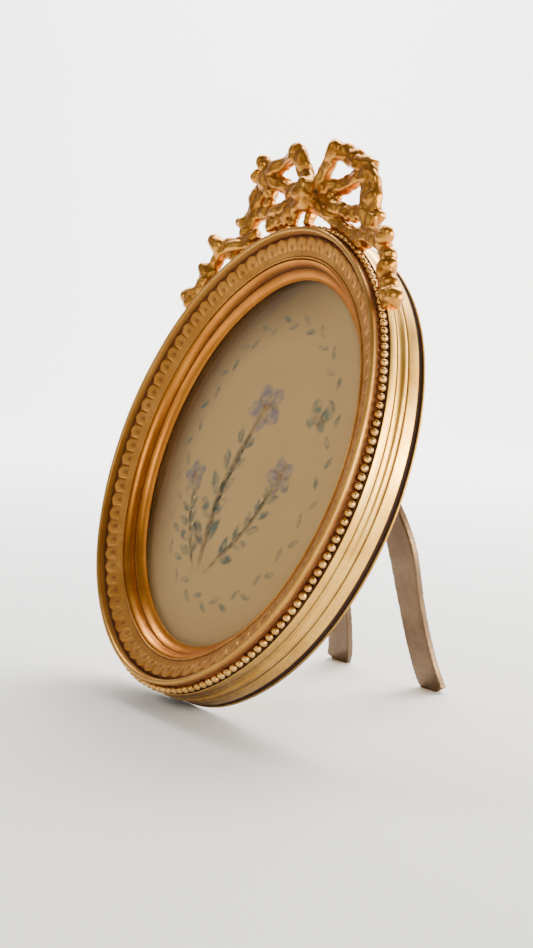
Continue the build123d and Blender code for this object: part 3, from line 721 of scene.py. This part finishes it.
# Ribbon bow.
# One pierced casting of crumpled ribbon, chased by hand, with two long tails that ride on the oval. Painted
# shade with some grime darkens the creases of its folds; their backs keep the plain gilt.
bow_gilt = metal("bow_gilding", (0.66, 0.30, 0.05), (0.48, 0.185, 0.025), (0.07, 0.02, 0.004),
                 0.16, 0.24, 0.15)
bow_voxel = 0.24 * mm
bow_smoothing = 7
bow_rubbing = 2
bow_crease_shade_gain = 14000.0
bow_plumpness = 0.5 * mm
bow_top = max(corner[2] for corner in cad_bounds) - 0.1 * mm
thin_by = 2.5 * mm
fold_size = 4.6 * mm
fold_depth = 0.6 * mm
wave_size = 2.6 * mm
wave_depth = 0.22 * mm
hole_level = 12.5
hole_depth = 14.0

# Knobs of gathered ribbon: across, up and out of the frame, and radius, in millimetres
left_knobs = [
    (-22.7, 78.4, 16.0, 1.8), (-21.6, 77.3, 15.7, 1.8), (-24.2, 74.9, 15.2, 1.8), (-17.7, 69.9, 14.2, 1.8),
    (-17.2, 67.3, 13.8, 1.2), (-8.9, 68.7, 14.0, 1.2), (-28.0, 62.6, 13.0, 1.4), (-26.4, 62.4, 12.9, 1.8),
    (-24.6, 60.0, 12.9, 1.6), (-5.4, 62.9, 13.1, 1.2), (-5.6, 61.6, 12.9, 1.1), (-34.0, 56.2, 15.0, 2.0),
    (-32.2, 55.4, 14.2, 2.1), (-37.3, 49.2, 13.6, 1.6), (-36.0, 48.8, 13.2, 1.8), (-35.0, 46.3, 12.7, 2.0),
    (-36.6, 43.4, 12.6, 2.0), (-33.8, 48.4, 12.6, 1.5), (-41.5, 41.4, 13.2, 1.8), (-40.0, 41.6, 13.0, 2.2),
    (-28.0, 54.1, 12.5, 1.7), (-26.0, 55.7, 12.6, 1.7), (-26.4, 53.0, 12.3, 1.4), (-14.8, 62.3, 12.8, 1.4),
    (-11.1, 62.6, 13.0, 1.5), (-8.2, 61.9, 12.8, 1.2), (-12.9, 64.3, 13.4, 1.4), (-22.6, 70.1, 14.2, 1.6),
    (-23.0, 65.8, 13.5, 1.6),
]
right_knobs = [
    (8.4, 67.5, 13.9, 1.3), (10.1, 66.7, 13.7, 0.9), (16.2, 61.5, 12.9, 1.1), (18.6, 60.9, 12.9, 0.9),
    (11.4, 77.3, 16.4, 2.0), (15.2, 75.9, 15.9, 2.1), (18.6, 73.9, 15.4, 2.2), (20.6, 71.2, 14.8, 1.9),
    (34.0, 54.9, 15.0, 1.9), (32.3, 55.4, 14.2, 2.0), (35.4, 50.6, 13.5, 1.9), (36.4, 48.4, 13.4, 1.8),
    (35.4, 46.4, 12.8, 2.1), (37.4, 43.6, 12.7, 2.0), (38.6, 41.0, 13.0, 1.9), (40.6, 40.7, 13.0, 1.9),
]

# Holes that the chaser opened with a file: across, up, half width and half height, in millimetres
filed_holes = [
    (-17.6, 59.8, 2.5, 1.8), (-8.8, 72.7, 3.4, 1.6), (20.9, 58.9, 1.6, 1.3), (29.2, 61.2, 1.9, 2.0),
    (25.2, 76.4, 2.2, 2.6),
]


def add_modifier(piece, label, kind, **settings):
    """Adds a modifier and makes its settings."""
    made = piece.modifiers.new(label, kind)
    for key, value in settings.items():
        setattr(made, key, value)


def rough_copy(name, node_name=None, balls=()):
    """A merged copy of one of the frame's own solids, if one is named, with a ball or egg at each place."""
    shape = bmesh.new()
    if node_name:
        shape.from_mesh(nodes[node_name].data)
        bmesh.ops.remove_doubles(shape, verts=shape.verts, dist=0.002 * mm)
    for place, radii in balls:
        spot = home @ Matrix.Translation(Vector(place) * mm) @ Matrix.Diagonal((*radii, 1.0))
        bmesh.ops.create_icosphere(shape, subdivisions=3, radius=mm, matrix=spot)
    mesh = bpy.data.meshes.new(name)
    shape.to_mesh(mesh)
    shape.free()
    return put(name, mesh)


def soft_copy(name, node_name, voxel, smoothing, knobs=(), holes=()):
    """A casting's plain solid with knobs added, holes filed and edges melted, ready to be worked."""
    balls = [((u, v, w), (radius, radius, radius)) for u, v, w, radius in knobs]
    copy = rough_copy(name + "_solid", node_name, balls)
    add_modifier(copy, "melt", "REMESH", mode="VOXEL", voxel_size=voxel)
    files = []
    for u, v, half_across, half_up in holes:
        egg = ((u, v, hole_level), (half_across, half_up, hole_depth))
        files.append(rough_copy(name + "_file", balls=[egg]))
        add_modifier(copy, "file", "BOOLEAN", operation="DIFFERENCE", object=files[-1])
    if holes:
        add_modifier(copy, "melt_again", "REMESH", mode="VOXEL", voxel_size=voxel)
    add_modifier(copy, "soften", "SMOOTH", factor=0.5, iterations=smoothing)
    made = settle(name, copy)
    for file in files:
        bpy.data.objects.remove(file)
    return made


def finish_piece(piece, finish, crisp_from=None):
    """Gives a piece its finish and a smooth surface, crisp at edges from an angle in degrees."""
    piece.data.materials.clear()
    piece.data.materials.append(finish)
    piece.data.shade_smooth()
    if crisp_from is not None:
        piece.data.set_sharp_from_angle(angle=math.radians(crisp_from))


def read_vectors(vertices, label):
    """A place or normal of every vertex, as rows."""
    values = np.empty(len(vertices) * 3)
    vertices.foreach_get(label, values)
    return values.reshape(-1, 3)


def work_surface(piece, height_at, crease_shade_gain, rubbing):
    """Moves each vertex along its normal by a height, rubs the result soft, and writes hollows as painted
    shade and tarnish.
    """
    mesh = piece.data
    count = len(mesh.vertices)
    places = read_vectors(mesh.vertices, "co")
    normals = read_vectors(mesh.vertices, "normal")
    heights = np.array([height_at(Vector(place)) for place in places])
    places = places + normals * heights[:, None]
    ends = np.empty(len(mesh.edges) * 2, dtype=int)
    mesh.edges.foreach_get("vertices", ends)
    ends = ends.reshape(-1, 2)
    ways = np.maximum(np.bincount(ends.ravel(), minlength=count), 1)

    def blend(values, share, rounds):
        for _ in range(rounds):
            total = np.zeros_like(values)
            np.add.at(total, ends[:, 0], values[ends[:, 1]])
            np.add.at(total, ends[:, 1], values[ends[:, 0]])
            values = (1 - share) * values + share * total / (ways[:, None] if values.ndim == 2 else ways)
        return values

    places = blend(places, 0.5, rubbing)
    mesh.vertices.foreach_set("co", places.ravel())
    mesh.update()
    # Painted shade with some tarnish: the deeper the hollow, the darker.
    hollow = ((blend(places, 0.6, 7) - places) * normals).sum(1)
    write_values(piece, "tarnish", np.clip(blend(hollow, 0.5, 2) * crease_shade_gain, 0.0, 1.0))


def ribbon_height(place):
    """Puffed folds that meet in creases, over slow waves, and less of both at the very top."""
    room = min(max((bow_top - place.z) / thin_by, 0.0), 1.0)
    near, _ = noise.voronoi(place / fold_size)
    puff = min((near[1] - near[0]) / 0.6, 1.0)
    return room * (bow_plumpness + fold_depth * (puff - 0.6) + wave_depth * noise.noise(place / wave_size))


bow = soft_copy("ribbon_bow", "bow_crest", bow_voxel, bow_smoothing, left_knobs + right_knobs, filed_holes)
finish_piece(bow, bow_gilt)
work_surface(bow, ribbon_height, bow_crease_shade_gain, bow_rubbing)
fit(bow, "frame", "gilt_bow", "bow_crest")

# Crest studs.
# Two plain brass pins join the bow's lugs to the rim. They only show edge on, in the joint.
plain_brass = metal("plain_brass", (0.50, 0.35, 0.15), (0.38, 0.25, 0.10), (0.07, 0.04, 0.015),
                    0.25, 0.32, 0.2)


def dress(node_name, finish):
    """Gives one of the frame's own solids its finish."""
    nodes[node_name].data.materials.clear()
    nodes[node_name].data.materials.append(finish)


dress("crest_studs", plain_brass)

# Glass.
# Old picture glass, clear, with the faintest wave in it. It lets light through to the picture behind.
glass_finish, tree = new_material("picture_glass")
place = add_node(tree, "ShaderNodeTexCoord").outputs["Object"]
wave = mottling(tree, 45.0, 1.0, Vector=place)
wave = add_node(tree, "ShaderNodeBump", {"Strength": 0.05, "Distance": 0.0002, "Height": wave})
pane = add_node(tree, "ShaderNodeBsdfPrincipled", {
    "Base Color": (0.97, 0.98, 0.96, 1.0), "Roughness": 0.02, "IOR": 1.45, "Transmission Weight": 1.0,
    "Metallic": 0.0, "Normal": wave})
clear = add_node(tree, "ShaderNodeBsdfTransparent", {"Color": (0.95, 0.96, 0.94, 1.0)})
rays = add_node(tree, "ShaderNodeLightPath").outputs
let_through = add_node(tree, "ShaderNodeMath", {0: rays["Is Shadow Ray"], 1: rays["Is Diffuse Ray"]},
                       operation="MAXIMUM")
surface = add_node(tree, "ShaderNodeMixShader", {0: let_through, 1: pane, 2: clear})
add_node(tree, "ShaderNodeOutputMaterial", {"Surface": surface})
dress("glass", glass_finish)

# Picture.
# A sheet of toned paper under the glass with a light spray of leaves and blossoms in thin watercolour.
# Painted shadow darkens the paper most at its left and upper edge, over a light mottled browning.
paper_tone_and_shadow, entry, leave = new_group("aged_paper", "Shader", [
    ("Light Paper", "Color", (0.66, 0.41, 0.16, 1.0)),
    ("Shadow and Browning", "Color", (0.12, 0.06, 0.02, 1.0)),
], [("Color", "Color"), ("Ink Hold", "Float")])
tree = paper_tone_and_shadow
place = add_node(tree, "ShaderNodeTexCoord").outputs["Object"]
flat_place = add_node(tree, "ShaderNodeMapping", {
    "Vector": place, "Location": tuple(middle), "Rotation": tuple(home.to_euler()),
    "Scale": (half_width - cove_inner * mm, half_height - cove_inner * mm, 1.0)}, vector_type="TEXTURE")
flat_place = add_node(tree, "ShaderNodeVectorMath", {0: flat_place, 1: (1.0, 1.0, 0.0)}, operation="MULTIPLY")
reach = add_node(tree, "ShaderNodeVectorMath", {0: flat_place}, operation="LENGTH")
side = add_node(tree, "ShaderNodeVectorMath", {0: flat_place, 1: (-0.75, 0.45, 0.0)}, operation="DOT_PRODUCT")
# Painted shadow: the paper darkens towards the sight edge, most at the left and top; some mottled browning is
# added below.
to_edge = add_node(tree, "ShaderNodeMapRange", {
    "Value": reach.outputs["Value"], "From Min": 0.62, "From Max": 1.02}, interpolation_type="SMOOTHSTEP")
to_side = add_node(tree, "ShaderNodeMapRange", {
    "Value": side.outputs["Value"], "From Min": -0.1, "From Max": 0.75}, interpolation_type="SMOOTHSTEP")
shadow_and_browning = add_node(tree, "ShaderNodeMath", {0: to_edge, 1: to_side}, operation="MULTIPLY")
shadow_and_browning = sum_of(tree, mottling(tree, 60.0, 4.0, Vector=place), 0.16, shadow_and_browning)
shadow_and_browning = sum_of(tree, mottling(tree, 2600.0, 3.0, Vector=place), 0.05, shadow_and_browning, use_clamp=True)
paper_colour = add_node(tree, "ShaderNodeMix", {
    0: shadow_and_browning, 6: entry.outputs["Light Paper"], 7: entry.outputs["Shadow and Browning"]}, data_type="RGBA")
tree.links.new(paper_colour.outputs[2], leave.inputs["Color"])
hold = mottling(tree, 420.0, 4.0, Vector=place)
hold = add_node(tree, "ShaderNodeMapRange", {"Value": hold, "From Min": 0.3, "From Max": 0.62})
tree.links.new(hold.outputs[0], leave.inputs["Ink Hold"])


def paper(name, ink, strength):
    """Toned paper with painted shadow at its left and upper edge, and a wash of ink where the ink attribute
    says so.
    """
    made, tree = new_material(name)
    tone = add_node(tree, "ShaderNodeGroup", node_tree=paper_tone_and_shadow)
    wash = add_node(tree, "ShaderNodeAttribute", attribute_name="ink").outputs["Fac"]
    wash = add_node(tree, "ShaderNodeMath", {0: wash, 1: tone.outputs["Ink Hold"]}, operation="MULTIPLY")
    wash = add_node(tree, "ShaderNodeMath", {0: wash, 1: strength}, operation="MULTIPLY", use_clamp=True)
    colour = add_node(tree, "ShaderNodeMix", {0: wash, 6: tone, 7: (*ink, 1.0)}, data_type="RGBA")
    paint(tree, Base_Color=colour.outputs[2], Roughness=0.8, Specular_IOR_Level=0.2)
    return made


sheet_bottom = 4.5 * mm
sheet_top = 4.76 * mm
ink_top = 4.79 * mm
sheet_inset = 4.7 * mm
sheet_sides = 144
sheet_rings = 8
sheet_rim = [on_oval(k / sheet_sides, sheet_inset) for k in range(sheet_sides)]
sheet_points = [Vector((0, 0, sheet_top))]
for ring in range(1, sheet_rings + 1):
    sheet_points += [p * (ring / sheet_rings) + Vector((0, 0, sheet_top)) for p in sheet_rim]
sheet_points += [Vector((p.x, p.y, sheet_bottom)) for p in sheet_rim]
sheet_faces = []
for k in range(sheet_sides):
    n = (k + 1) % sheet_sides
    sheet_faces.append((0, 1 + k, 1 + n))
    for ring in range(sheet_rings):
        a, b = 1 + ring * sheet_sides, 1 + (ring + 1) * sheet_sides
        sheet_faces.append((a + k, b + k, b + n, a + n))
last_ring = 1 + sheet_rings * sheet_sides
sheet_faces.append(tuple(last_ring + k for k in range(sheet_sides - 1, -1, -1)))
sheet = settle("picture_paper", add_mesh("picture_paper_flat", sheet_points, sheet_faces), home)
sheet.data.materials.append(paper("toned_paper", (0.3, 0.3, 0.3), 0.0))
fit(sheet, "frame", "picture", "picture_sheet")


def blade(length, breadth, bend, steps=9):
    """Outline of a leaf or petal that starts at the origin and points along Y, bent to one side."""
    right, left = [], []
    for k in range(1, steps):
        t = k / steps
        half = breadth / 2 * math.sin(math.pi * t) ** 0.8
        drift = bend * math.sin(math.pi * t / 2) ** 2
        right.append((drift + half, length * t))
        left.append((drift - half, length * t))
    return [(0.0, 0.0)] + right + [(bend, length)] + left[::-1]


# Each ring of a wash: its level, its share of the outline and its ink
wash_rings = [(ink_top, 0.72, 1.0), (ink_top, 1.0, 0.25), (sheet_top, 1.0, 0.25)]


def washes(name, outlines, finish):
    """Thin flat shapes on the paper, inked at the middle and fading to their edges."""
    points, faces, ink = [], [], []
    for outline_points in outlines:
        count = len(outline_points)
        start = len(points)
        cx = sum(x for x, _ in outline_points) / count
        cy = sum(y for _, y in outline_points) / count
        points.append((cx, cy, ink_top))
        ink.append(1.0)
        for level, share, strength in wash_rings:
            points += [(cx + (x - cx) * share, cy + (y - cy) * share, level) for x, y in outline_points]
            ink += [strength] * count
        for k in range(count):
            n = (k + 1) % count
            faces.append((start, start + 1 + k, start + 1 + n))
            for ring in range(2):
                a, b = start + 1 + ring * count, start + 1 + (ring + 1) * count
                faces.append((a + k, b + k, b + n, a + n))
        faces.append(tuple(start + 1 + 2 * count + k for k in range(count - 1, -1, -1)))
    flat = add_mesh(name + "_flat", points, faces)
    write_values(flat, "ink", ink)
    made = settle(name, flat, home)
    made.data.materials.append(finish)
    fit(made, "frame", "picture", "picture_sheet")


def placed(outline_points, x, y, degrees):
    """An outline turned and moved to its place on the paper."""
    turn = math.radians(degrees)
    cos, sin = math.cos(turn), math.sin(turn)
    return [(x + px * cos - py * sin, y + px * sin + py * cos) for px, py in outline_points]


def thin_line(points, half):
    """Outline of a thin line through points, thinner towards its end."""
    right, left = [], []
    last = len(points) - 1
    for k, (x, y) in enumerate(points):
        (bx, by), (ax, ay) = points[max(k - 1, 0)], points[min(k + 1, last)]
        thin = half * (1.15 - 0.75 * k / last) / math.hypot(ax - bx, ay - by)
        right.append((x + (ay - by) * thin, y - (ax - bx) * thin))
        left.append((x - (ay - by) * thin, y + (ax - bx) * thin))
    return right + left[::-1]


def sprig(x, y, height, lean, bend, leaf_size, steps=20):
    """Stem from a foot point, its paired leaves, and where its blossom sits."""
    points = []
    for k in range(steps + 1):
        t = k / steps
        points.append((mm * (x + lean * t + bend * math.sin(math.pi * t)), mm * (y + height * t)))
    pairs = []
    for k in range(3, steps - 2, 3):
        t = k / steps
        (px, py), (ax, ay) = points[k], points[k + 1]
        heading = math.degrees(math.atan2(ay - py, ax - px)) - 90
        size = leaf_size * (1.0 - 0.4 * t) * mm
        for side in (-1, 1):
            leaf = blade(size, 0.42 * size, side * 0.14 * size)
            pairs.append(placed(leaf, px, py, heading + side * (44 + 10 * t)))
    return thin_line(points, 0.38 * mm), pairs, points[-1]


sprigs = [sprig(-7, -30, 44, 6, -5, 9.5), sprig(-4, -30, 27, 17, 3, 7.0), sprig(-9, -30, 24, -12, -2, 6.5)]
blossom_sizes = (1.25, 0.95, 0.8)
washes("painted_stems", [stem for stem, _, _ in sprigs], paper("stem_wash", (0.10, 0.09, 0.05), 1.0))
leaf_outlines = [leaf for _, pairs, _ in sprigs for leaf in pairs]
washes("painted_leaves", leaf_outlines, paper("leaf_wash", (0.06, 0.11, 0.10), 0.85))
petal_outlines = []
centre_outlines = []
for (_, _, (x, y)), size in zip(sprigs, blossom_sizes):
    petal = blade(6.0 * size * mm, 4.6 * size * mm, 0.0)
    petal_outlines += [placed(petal, x, y, 72 * k + 20 * size) for k in range(5)]
    reach = 1.2 * size * mm
    centre_outlines.append([(x + reach * math.cos(0.7 * k), y + reach * math.sin(0.7 * k)) for k in range(9)])
washes("painted_petals", petal_outlines, paper("petal_wash", (0.13, 0.13, 0.20), 0.75))
washes("painted_centres", centre_outlines, paper("centre_wash", (0.45, 0.15, 0.03), 0.9))
wreath_leaves = 46
wreath_half_width = 27.5 * mm
wreath_half_height = 37.0 * mm
wreath = []
for k in range(wreath_leaves):
    turn = 2 * math.pi * k / wreath_leaves
    x, y = wreath_half_width * math.cos(turn), wreath_half_height * math.sin(turn)
    wreath.append(placed(blade(4.6 * mm, 1.7 * mm, 0.0), x, y, math.degrees(turn) + (28 if k % 2 else -28)))
washes("painted_wreath", wreath, paper("wreath_wash", (0.06, 0.12, 0.11), 0.7))
butterfly_tilt = -14
wings = []
for side in (-1, 1):
    upper, lower = blade(6.5 * mm, 4.6 * mm, side * 1.0 * mm), blade(4.4 * mm, 3.6 * mm, 0.0)
    wings.append(placed(upper, 20 * mm, 12 * mm, side * 52 + butterfly_tilt))
    wings.append(placed(lower, 20 * mm, 12 * mm, side * 112 + butterfly_tilt))
washes("painted_butterfly", wings, paper("butterfly_wash", (0.05, 0.14, 0.13), 0.8))
body = [placed(blade(5.2 * mm, 1.1 * mm, 0.0), 20.3 * mm, 9.8 * mm, butterfly_tilt)]
washes("painted_body", body, paper("body_wash", (0.09, 0.06, 0.03), 1.0))

# Backing card.
# A plain grey-brown pasteboard that presses the picture to the glass. It is shut in behind the back plate.
card_finish, tree = new_material("pasteboard")
place = add_node(tree, "ShaderNodeTexCoord").outputs["Object"]
pulp = mottling(tree, 900.0, 5.0, Vector=place)
colour = add_node(tree, "ShaderNodeMix", {0: pulp, 6: (0.30, 0.22, 0.14, 1.0), 7: (0.42, 0.33, 0.22, 1.0)},
                  data_type="RGBA")
paint(tree, Base_Color=colour.outputs[2], Roughness=0.9)
dress("backing_card", card_finish)

# Back plate.
# A rolled brass sheet, cut to the oval, dull and finely scratched, with its edge eased by a file.
sheet_brass = metal("sheet_brass", (0.40, 0.27, 0.11), (0.30, 0.19, 0.075), (0.06, 0.035, 0.015),
                    0.35, 0.36, 0.3)
eased_edge = 0.12 * mm


def eased(name, body, slot, node_name, finish):
    """Fits a copy of one of the frame's own solids with its sharp edges broken by a file."""
    copy = rough_copy(name + "_sharp", node_name)
    add_modifier(copy, "file", "BEVEL", width=eased_edge, segments=2, limit_method="ANGLE",
                 angle_limit=math.radians(35))
    made = settle(name, copy)
    finish_piece(made, finish, 40)
    fit(made, body, slot, node_name)


eased("back_plate_sheet", "frame", "brass_sheet", "back_plate", sheet_brass)

# Turn clips.
# Four little round-ended strips of brass, each on its own screw, that swing aside to free the back plate.
for number in (1, 2, 3, 4):
    eased(f"clip_strip_{number}", f"clip_{number}", "brass", f"turn_clip_{number}", plain_brass)

# Clip screws and rivets.
# Slotted round-head screws carry the clips. Snapped rivets, domed by a hammer, hold the hinge plate and join
# the strut to its leaf.
head_brass = metal("head_brass", (0.56, 0.40, 0.18), (0.44, 0.29, 0.12), (0.06, 0.035, 0.015),
                   0.22, 0.25, 0.2)
head_radius = 1.4 * mm
head_thickness = 0.6 * mm
shank_radius = 0.78 * mm
head_sides = 24
slot_half_width = 0.17 * mm
slot_depth = 0.55 * head_thickness
saw_reach = 1.3 * head_radius

# Rings of the domed face as shares of the head's radius and thickness
dome_shares = [(0.45, 0.97), (0.8, 0.78), (0.96, 0.45), (1.0, 0.0)]


def turned_head(name, shank):
    """A head with a domed face that looks down, on a plain shank that stands up."""
    rings = [(head_radius * r, -head_thickness * t) for r, t in dome_shares]
    rings += [(shank_radius, 0.0), (shank_radius, shank)]
    return add_mesh(name, *turned_shape(rings, head_sides, -head_thickness, shank))


def slotted(name, head):
    """The head with a slot sawn across its face."""
    corners = []
    for sx in (-1, 1):
        for sy in (-1, 1):
            for sz in (-1, 1):
                corners.append((sx * saw_reach, sy * slot_half_width, sz * slot_depth - head_thickness))
    sides = [(0, 1, 3, 2), (4, 6, 7, 5), (0, 4, 5, 1), (2, 3, 7, 6), (0, 2, 6, 4), (1, 5, 7, 3)]
    saw = add_mesh(name + "_saw", corners, sides)
    add_modifier(head, "slot", "BOOLEAN", operation="DIFFERENCE", object=saw)
    made = settle(name, head)
    bpy.data.objects.remove(saw)
    return made


heads_tree, entry, leave = new_group("heads_at_points", "Geometry", [
    ("Geometry", "Geometry", None),
    ("Head", "Object", None),
    ("Turn Spread", "Float", 3.1),
    ("Seed", "Int", 2),
    ("Finish", "Material", None),
], [("Geometry", "Geometry")])
one = add_node(heads_tree, "GeometryNodeObjectInfo", {"Object": entry.outputs["Head"]})
spin = add_node(heads_tree, "ShaderNodeCombineXYZ", {
    "Z": spread(heads_tree, 0.0, entry.outputs["Turn Spread"], entry.outputs["Seed"])})
row = add_node(heads_tree, "GeometryNodeInstanceOnPoints", {
    "Points": entry.outputs["Geometry"], "Instance": one.outputs["Geometry"], "Rotation": spin})
end_tree(heads_tree, row, entry, leave)


def set_heads(name, places, head, seed, to_world):
    """A head at each place, each with its own turn."""
    points = add_mesh(name + "_places", places, [])
    set_inputs(points, heads_tree, Head=head, Turn_Spread=3.1, Seed=seed, Finish=head_brass)
    made = settle(name, points, to_world)
    made.data.shade_smooth()
    made.data.set_sharp_from_angle(angle=math.radians(38))
    bpy.data.objects.remove(head)
    return made


clip_thickness = 0.8 * mm
clip_gap = 0.05 * mm
to_flat = home.inverted()
screw_places = []
for joint in frame["joints"]:
    if joint["name"].startswith("clip_"):
        pivot = to_flat @ Vector(joint["pos_m"])
        screw_places.append((pivot.x, pivot.y, -clip_thickness - 2 * clip_gap))
screw_head = slotted("screw_head_slotted", turned_head("screw_head", 4.0 * mm))
screws = set_heads("slotted_screws", screw_places, screw_head, 5, home)
fit(screws, "frame", "screw_brass", "clip_screws")
hinge_joint = next(joint for joint in frame["joints"] if joint["name"] == "strut_fold")
hinge_place = Vector(hinge_joint["pos_m"])
hinge_height = (to_flat @ hinge_place).y
hinge_plate_thickness = 1.0 * mm
rivet_inset = 2.6 * mm
rivet_across = 20.0 * mm / 2 - rivet_inset
rivet_up = 15.0 * mm / 2 - rivet_inset
rivet_places = []
for sx in (-1, 1):
    for sy in (-1, 1):
        rivet_places.append((sx * rivet_across, hinge_height + sy * rivet_up, -hinge_plate_thickness))
rivets = set_heads("hinge_rivet_domes", rivet_places, turned_head("hinge_rivet", 2.2 * mm), 8, home)
fit(rivets, "frame", "screw_brass", "hinge_rivets")

# Hinge.
# A small cast plate with two knuckles, riveted to the back plate, and a steel pin through them and the
# strut's own.
pin_steel = metal("pin_steel", (0.62, 0.60, 0.56), (0.48, 0.46, 0.43), (0.10, 0.07, 0.05), 0.3, 0.3, 0.2)
eased("hinge_plate_cast", "frame", "brass", "hinge_plate", plain_brass)
eased("hinge_pin_turned", "frame", "steel_pin", "hinge_pin", pin_steel)

# Strut.
# A leaf that turns on the pin and a strap cut with two splayed legs, riveted to it. The strap was never gilt:
# it is olive-brown brass, with browner blotches.
strut_brass = metal("strut_brass", (0.15, 0.10, 0.058), (0.105, 0.064, 0.038), (0.09, 0.035, 0.014),
                    0.3, 0.28, 0.25)
eased("strut_leaf_cast", "strut", "brass", "strut_leaf", plain_brass)
strap_voxel = 0.3 * mm
strap_smoothing = 3
strap_crease_shade_gain = 6000.0
hammer_size = 4.0 * mm
hammer_depth = 0.05 * mm


def strap_height(place):
    """The slow waves that a hammer leaves in a flat strap."""
    return hammer_depth * noise.noise(place / hammer_size)


legs = soft_copy("strut_strap", "strut_legs", strap_voxel, strap_smoothing)
finish_piece(legs, strut_brass)
# The strap's hollows get painted shade with some tarnish too.
work_surface(legs, strap_height, strap_crease_shade_gain, 0)
fit(legs, "strut", "strut_brass", "strut_legs")
strut_length = 102.4 * mm
strut_slope = math.acos(hinge_place.z / strut_length)
up_the_strut = Vector((0.0, -math.sin(strut_slope), math.cos(strut_slope)))
strut_front = Vector((0.0, -math.cos(strut_slope), -math.sin(strut_slope)))
strut_home = stand(hinge_place, (1, 0, 0), up_the_strut, strut_front)
strut_leaf_length = 15.0 * mm
strut_leaf_width = 12.0 * mm
rivet_low = strut_leaf_length - rivet_inset
rivet_high = rivet_low - strut_leaf_length / 2
rivet_level = -2.0 * mm
strut_rivet_places = [(side * strut_leaf_width / 4, -rivet_high, rivet_level) for side in (-1, 1)]
strut_rivet_places.append((0.0, -rivet_low, rivet_level))
strut_rivet = turned_head("strut_rivet", 3.0 * mm)
strut_rivets = set_heads("strut_rivet_domes", strut_rivet_places, strut_rivet, 21, strut_home)
fit(strut_rivets, "strut", "screw_brass", "strut_rivets")

bpy.data.objects.remove(outline)
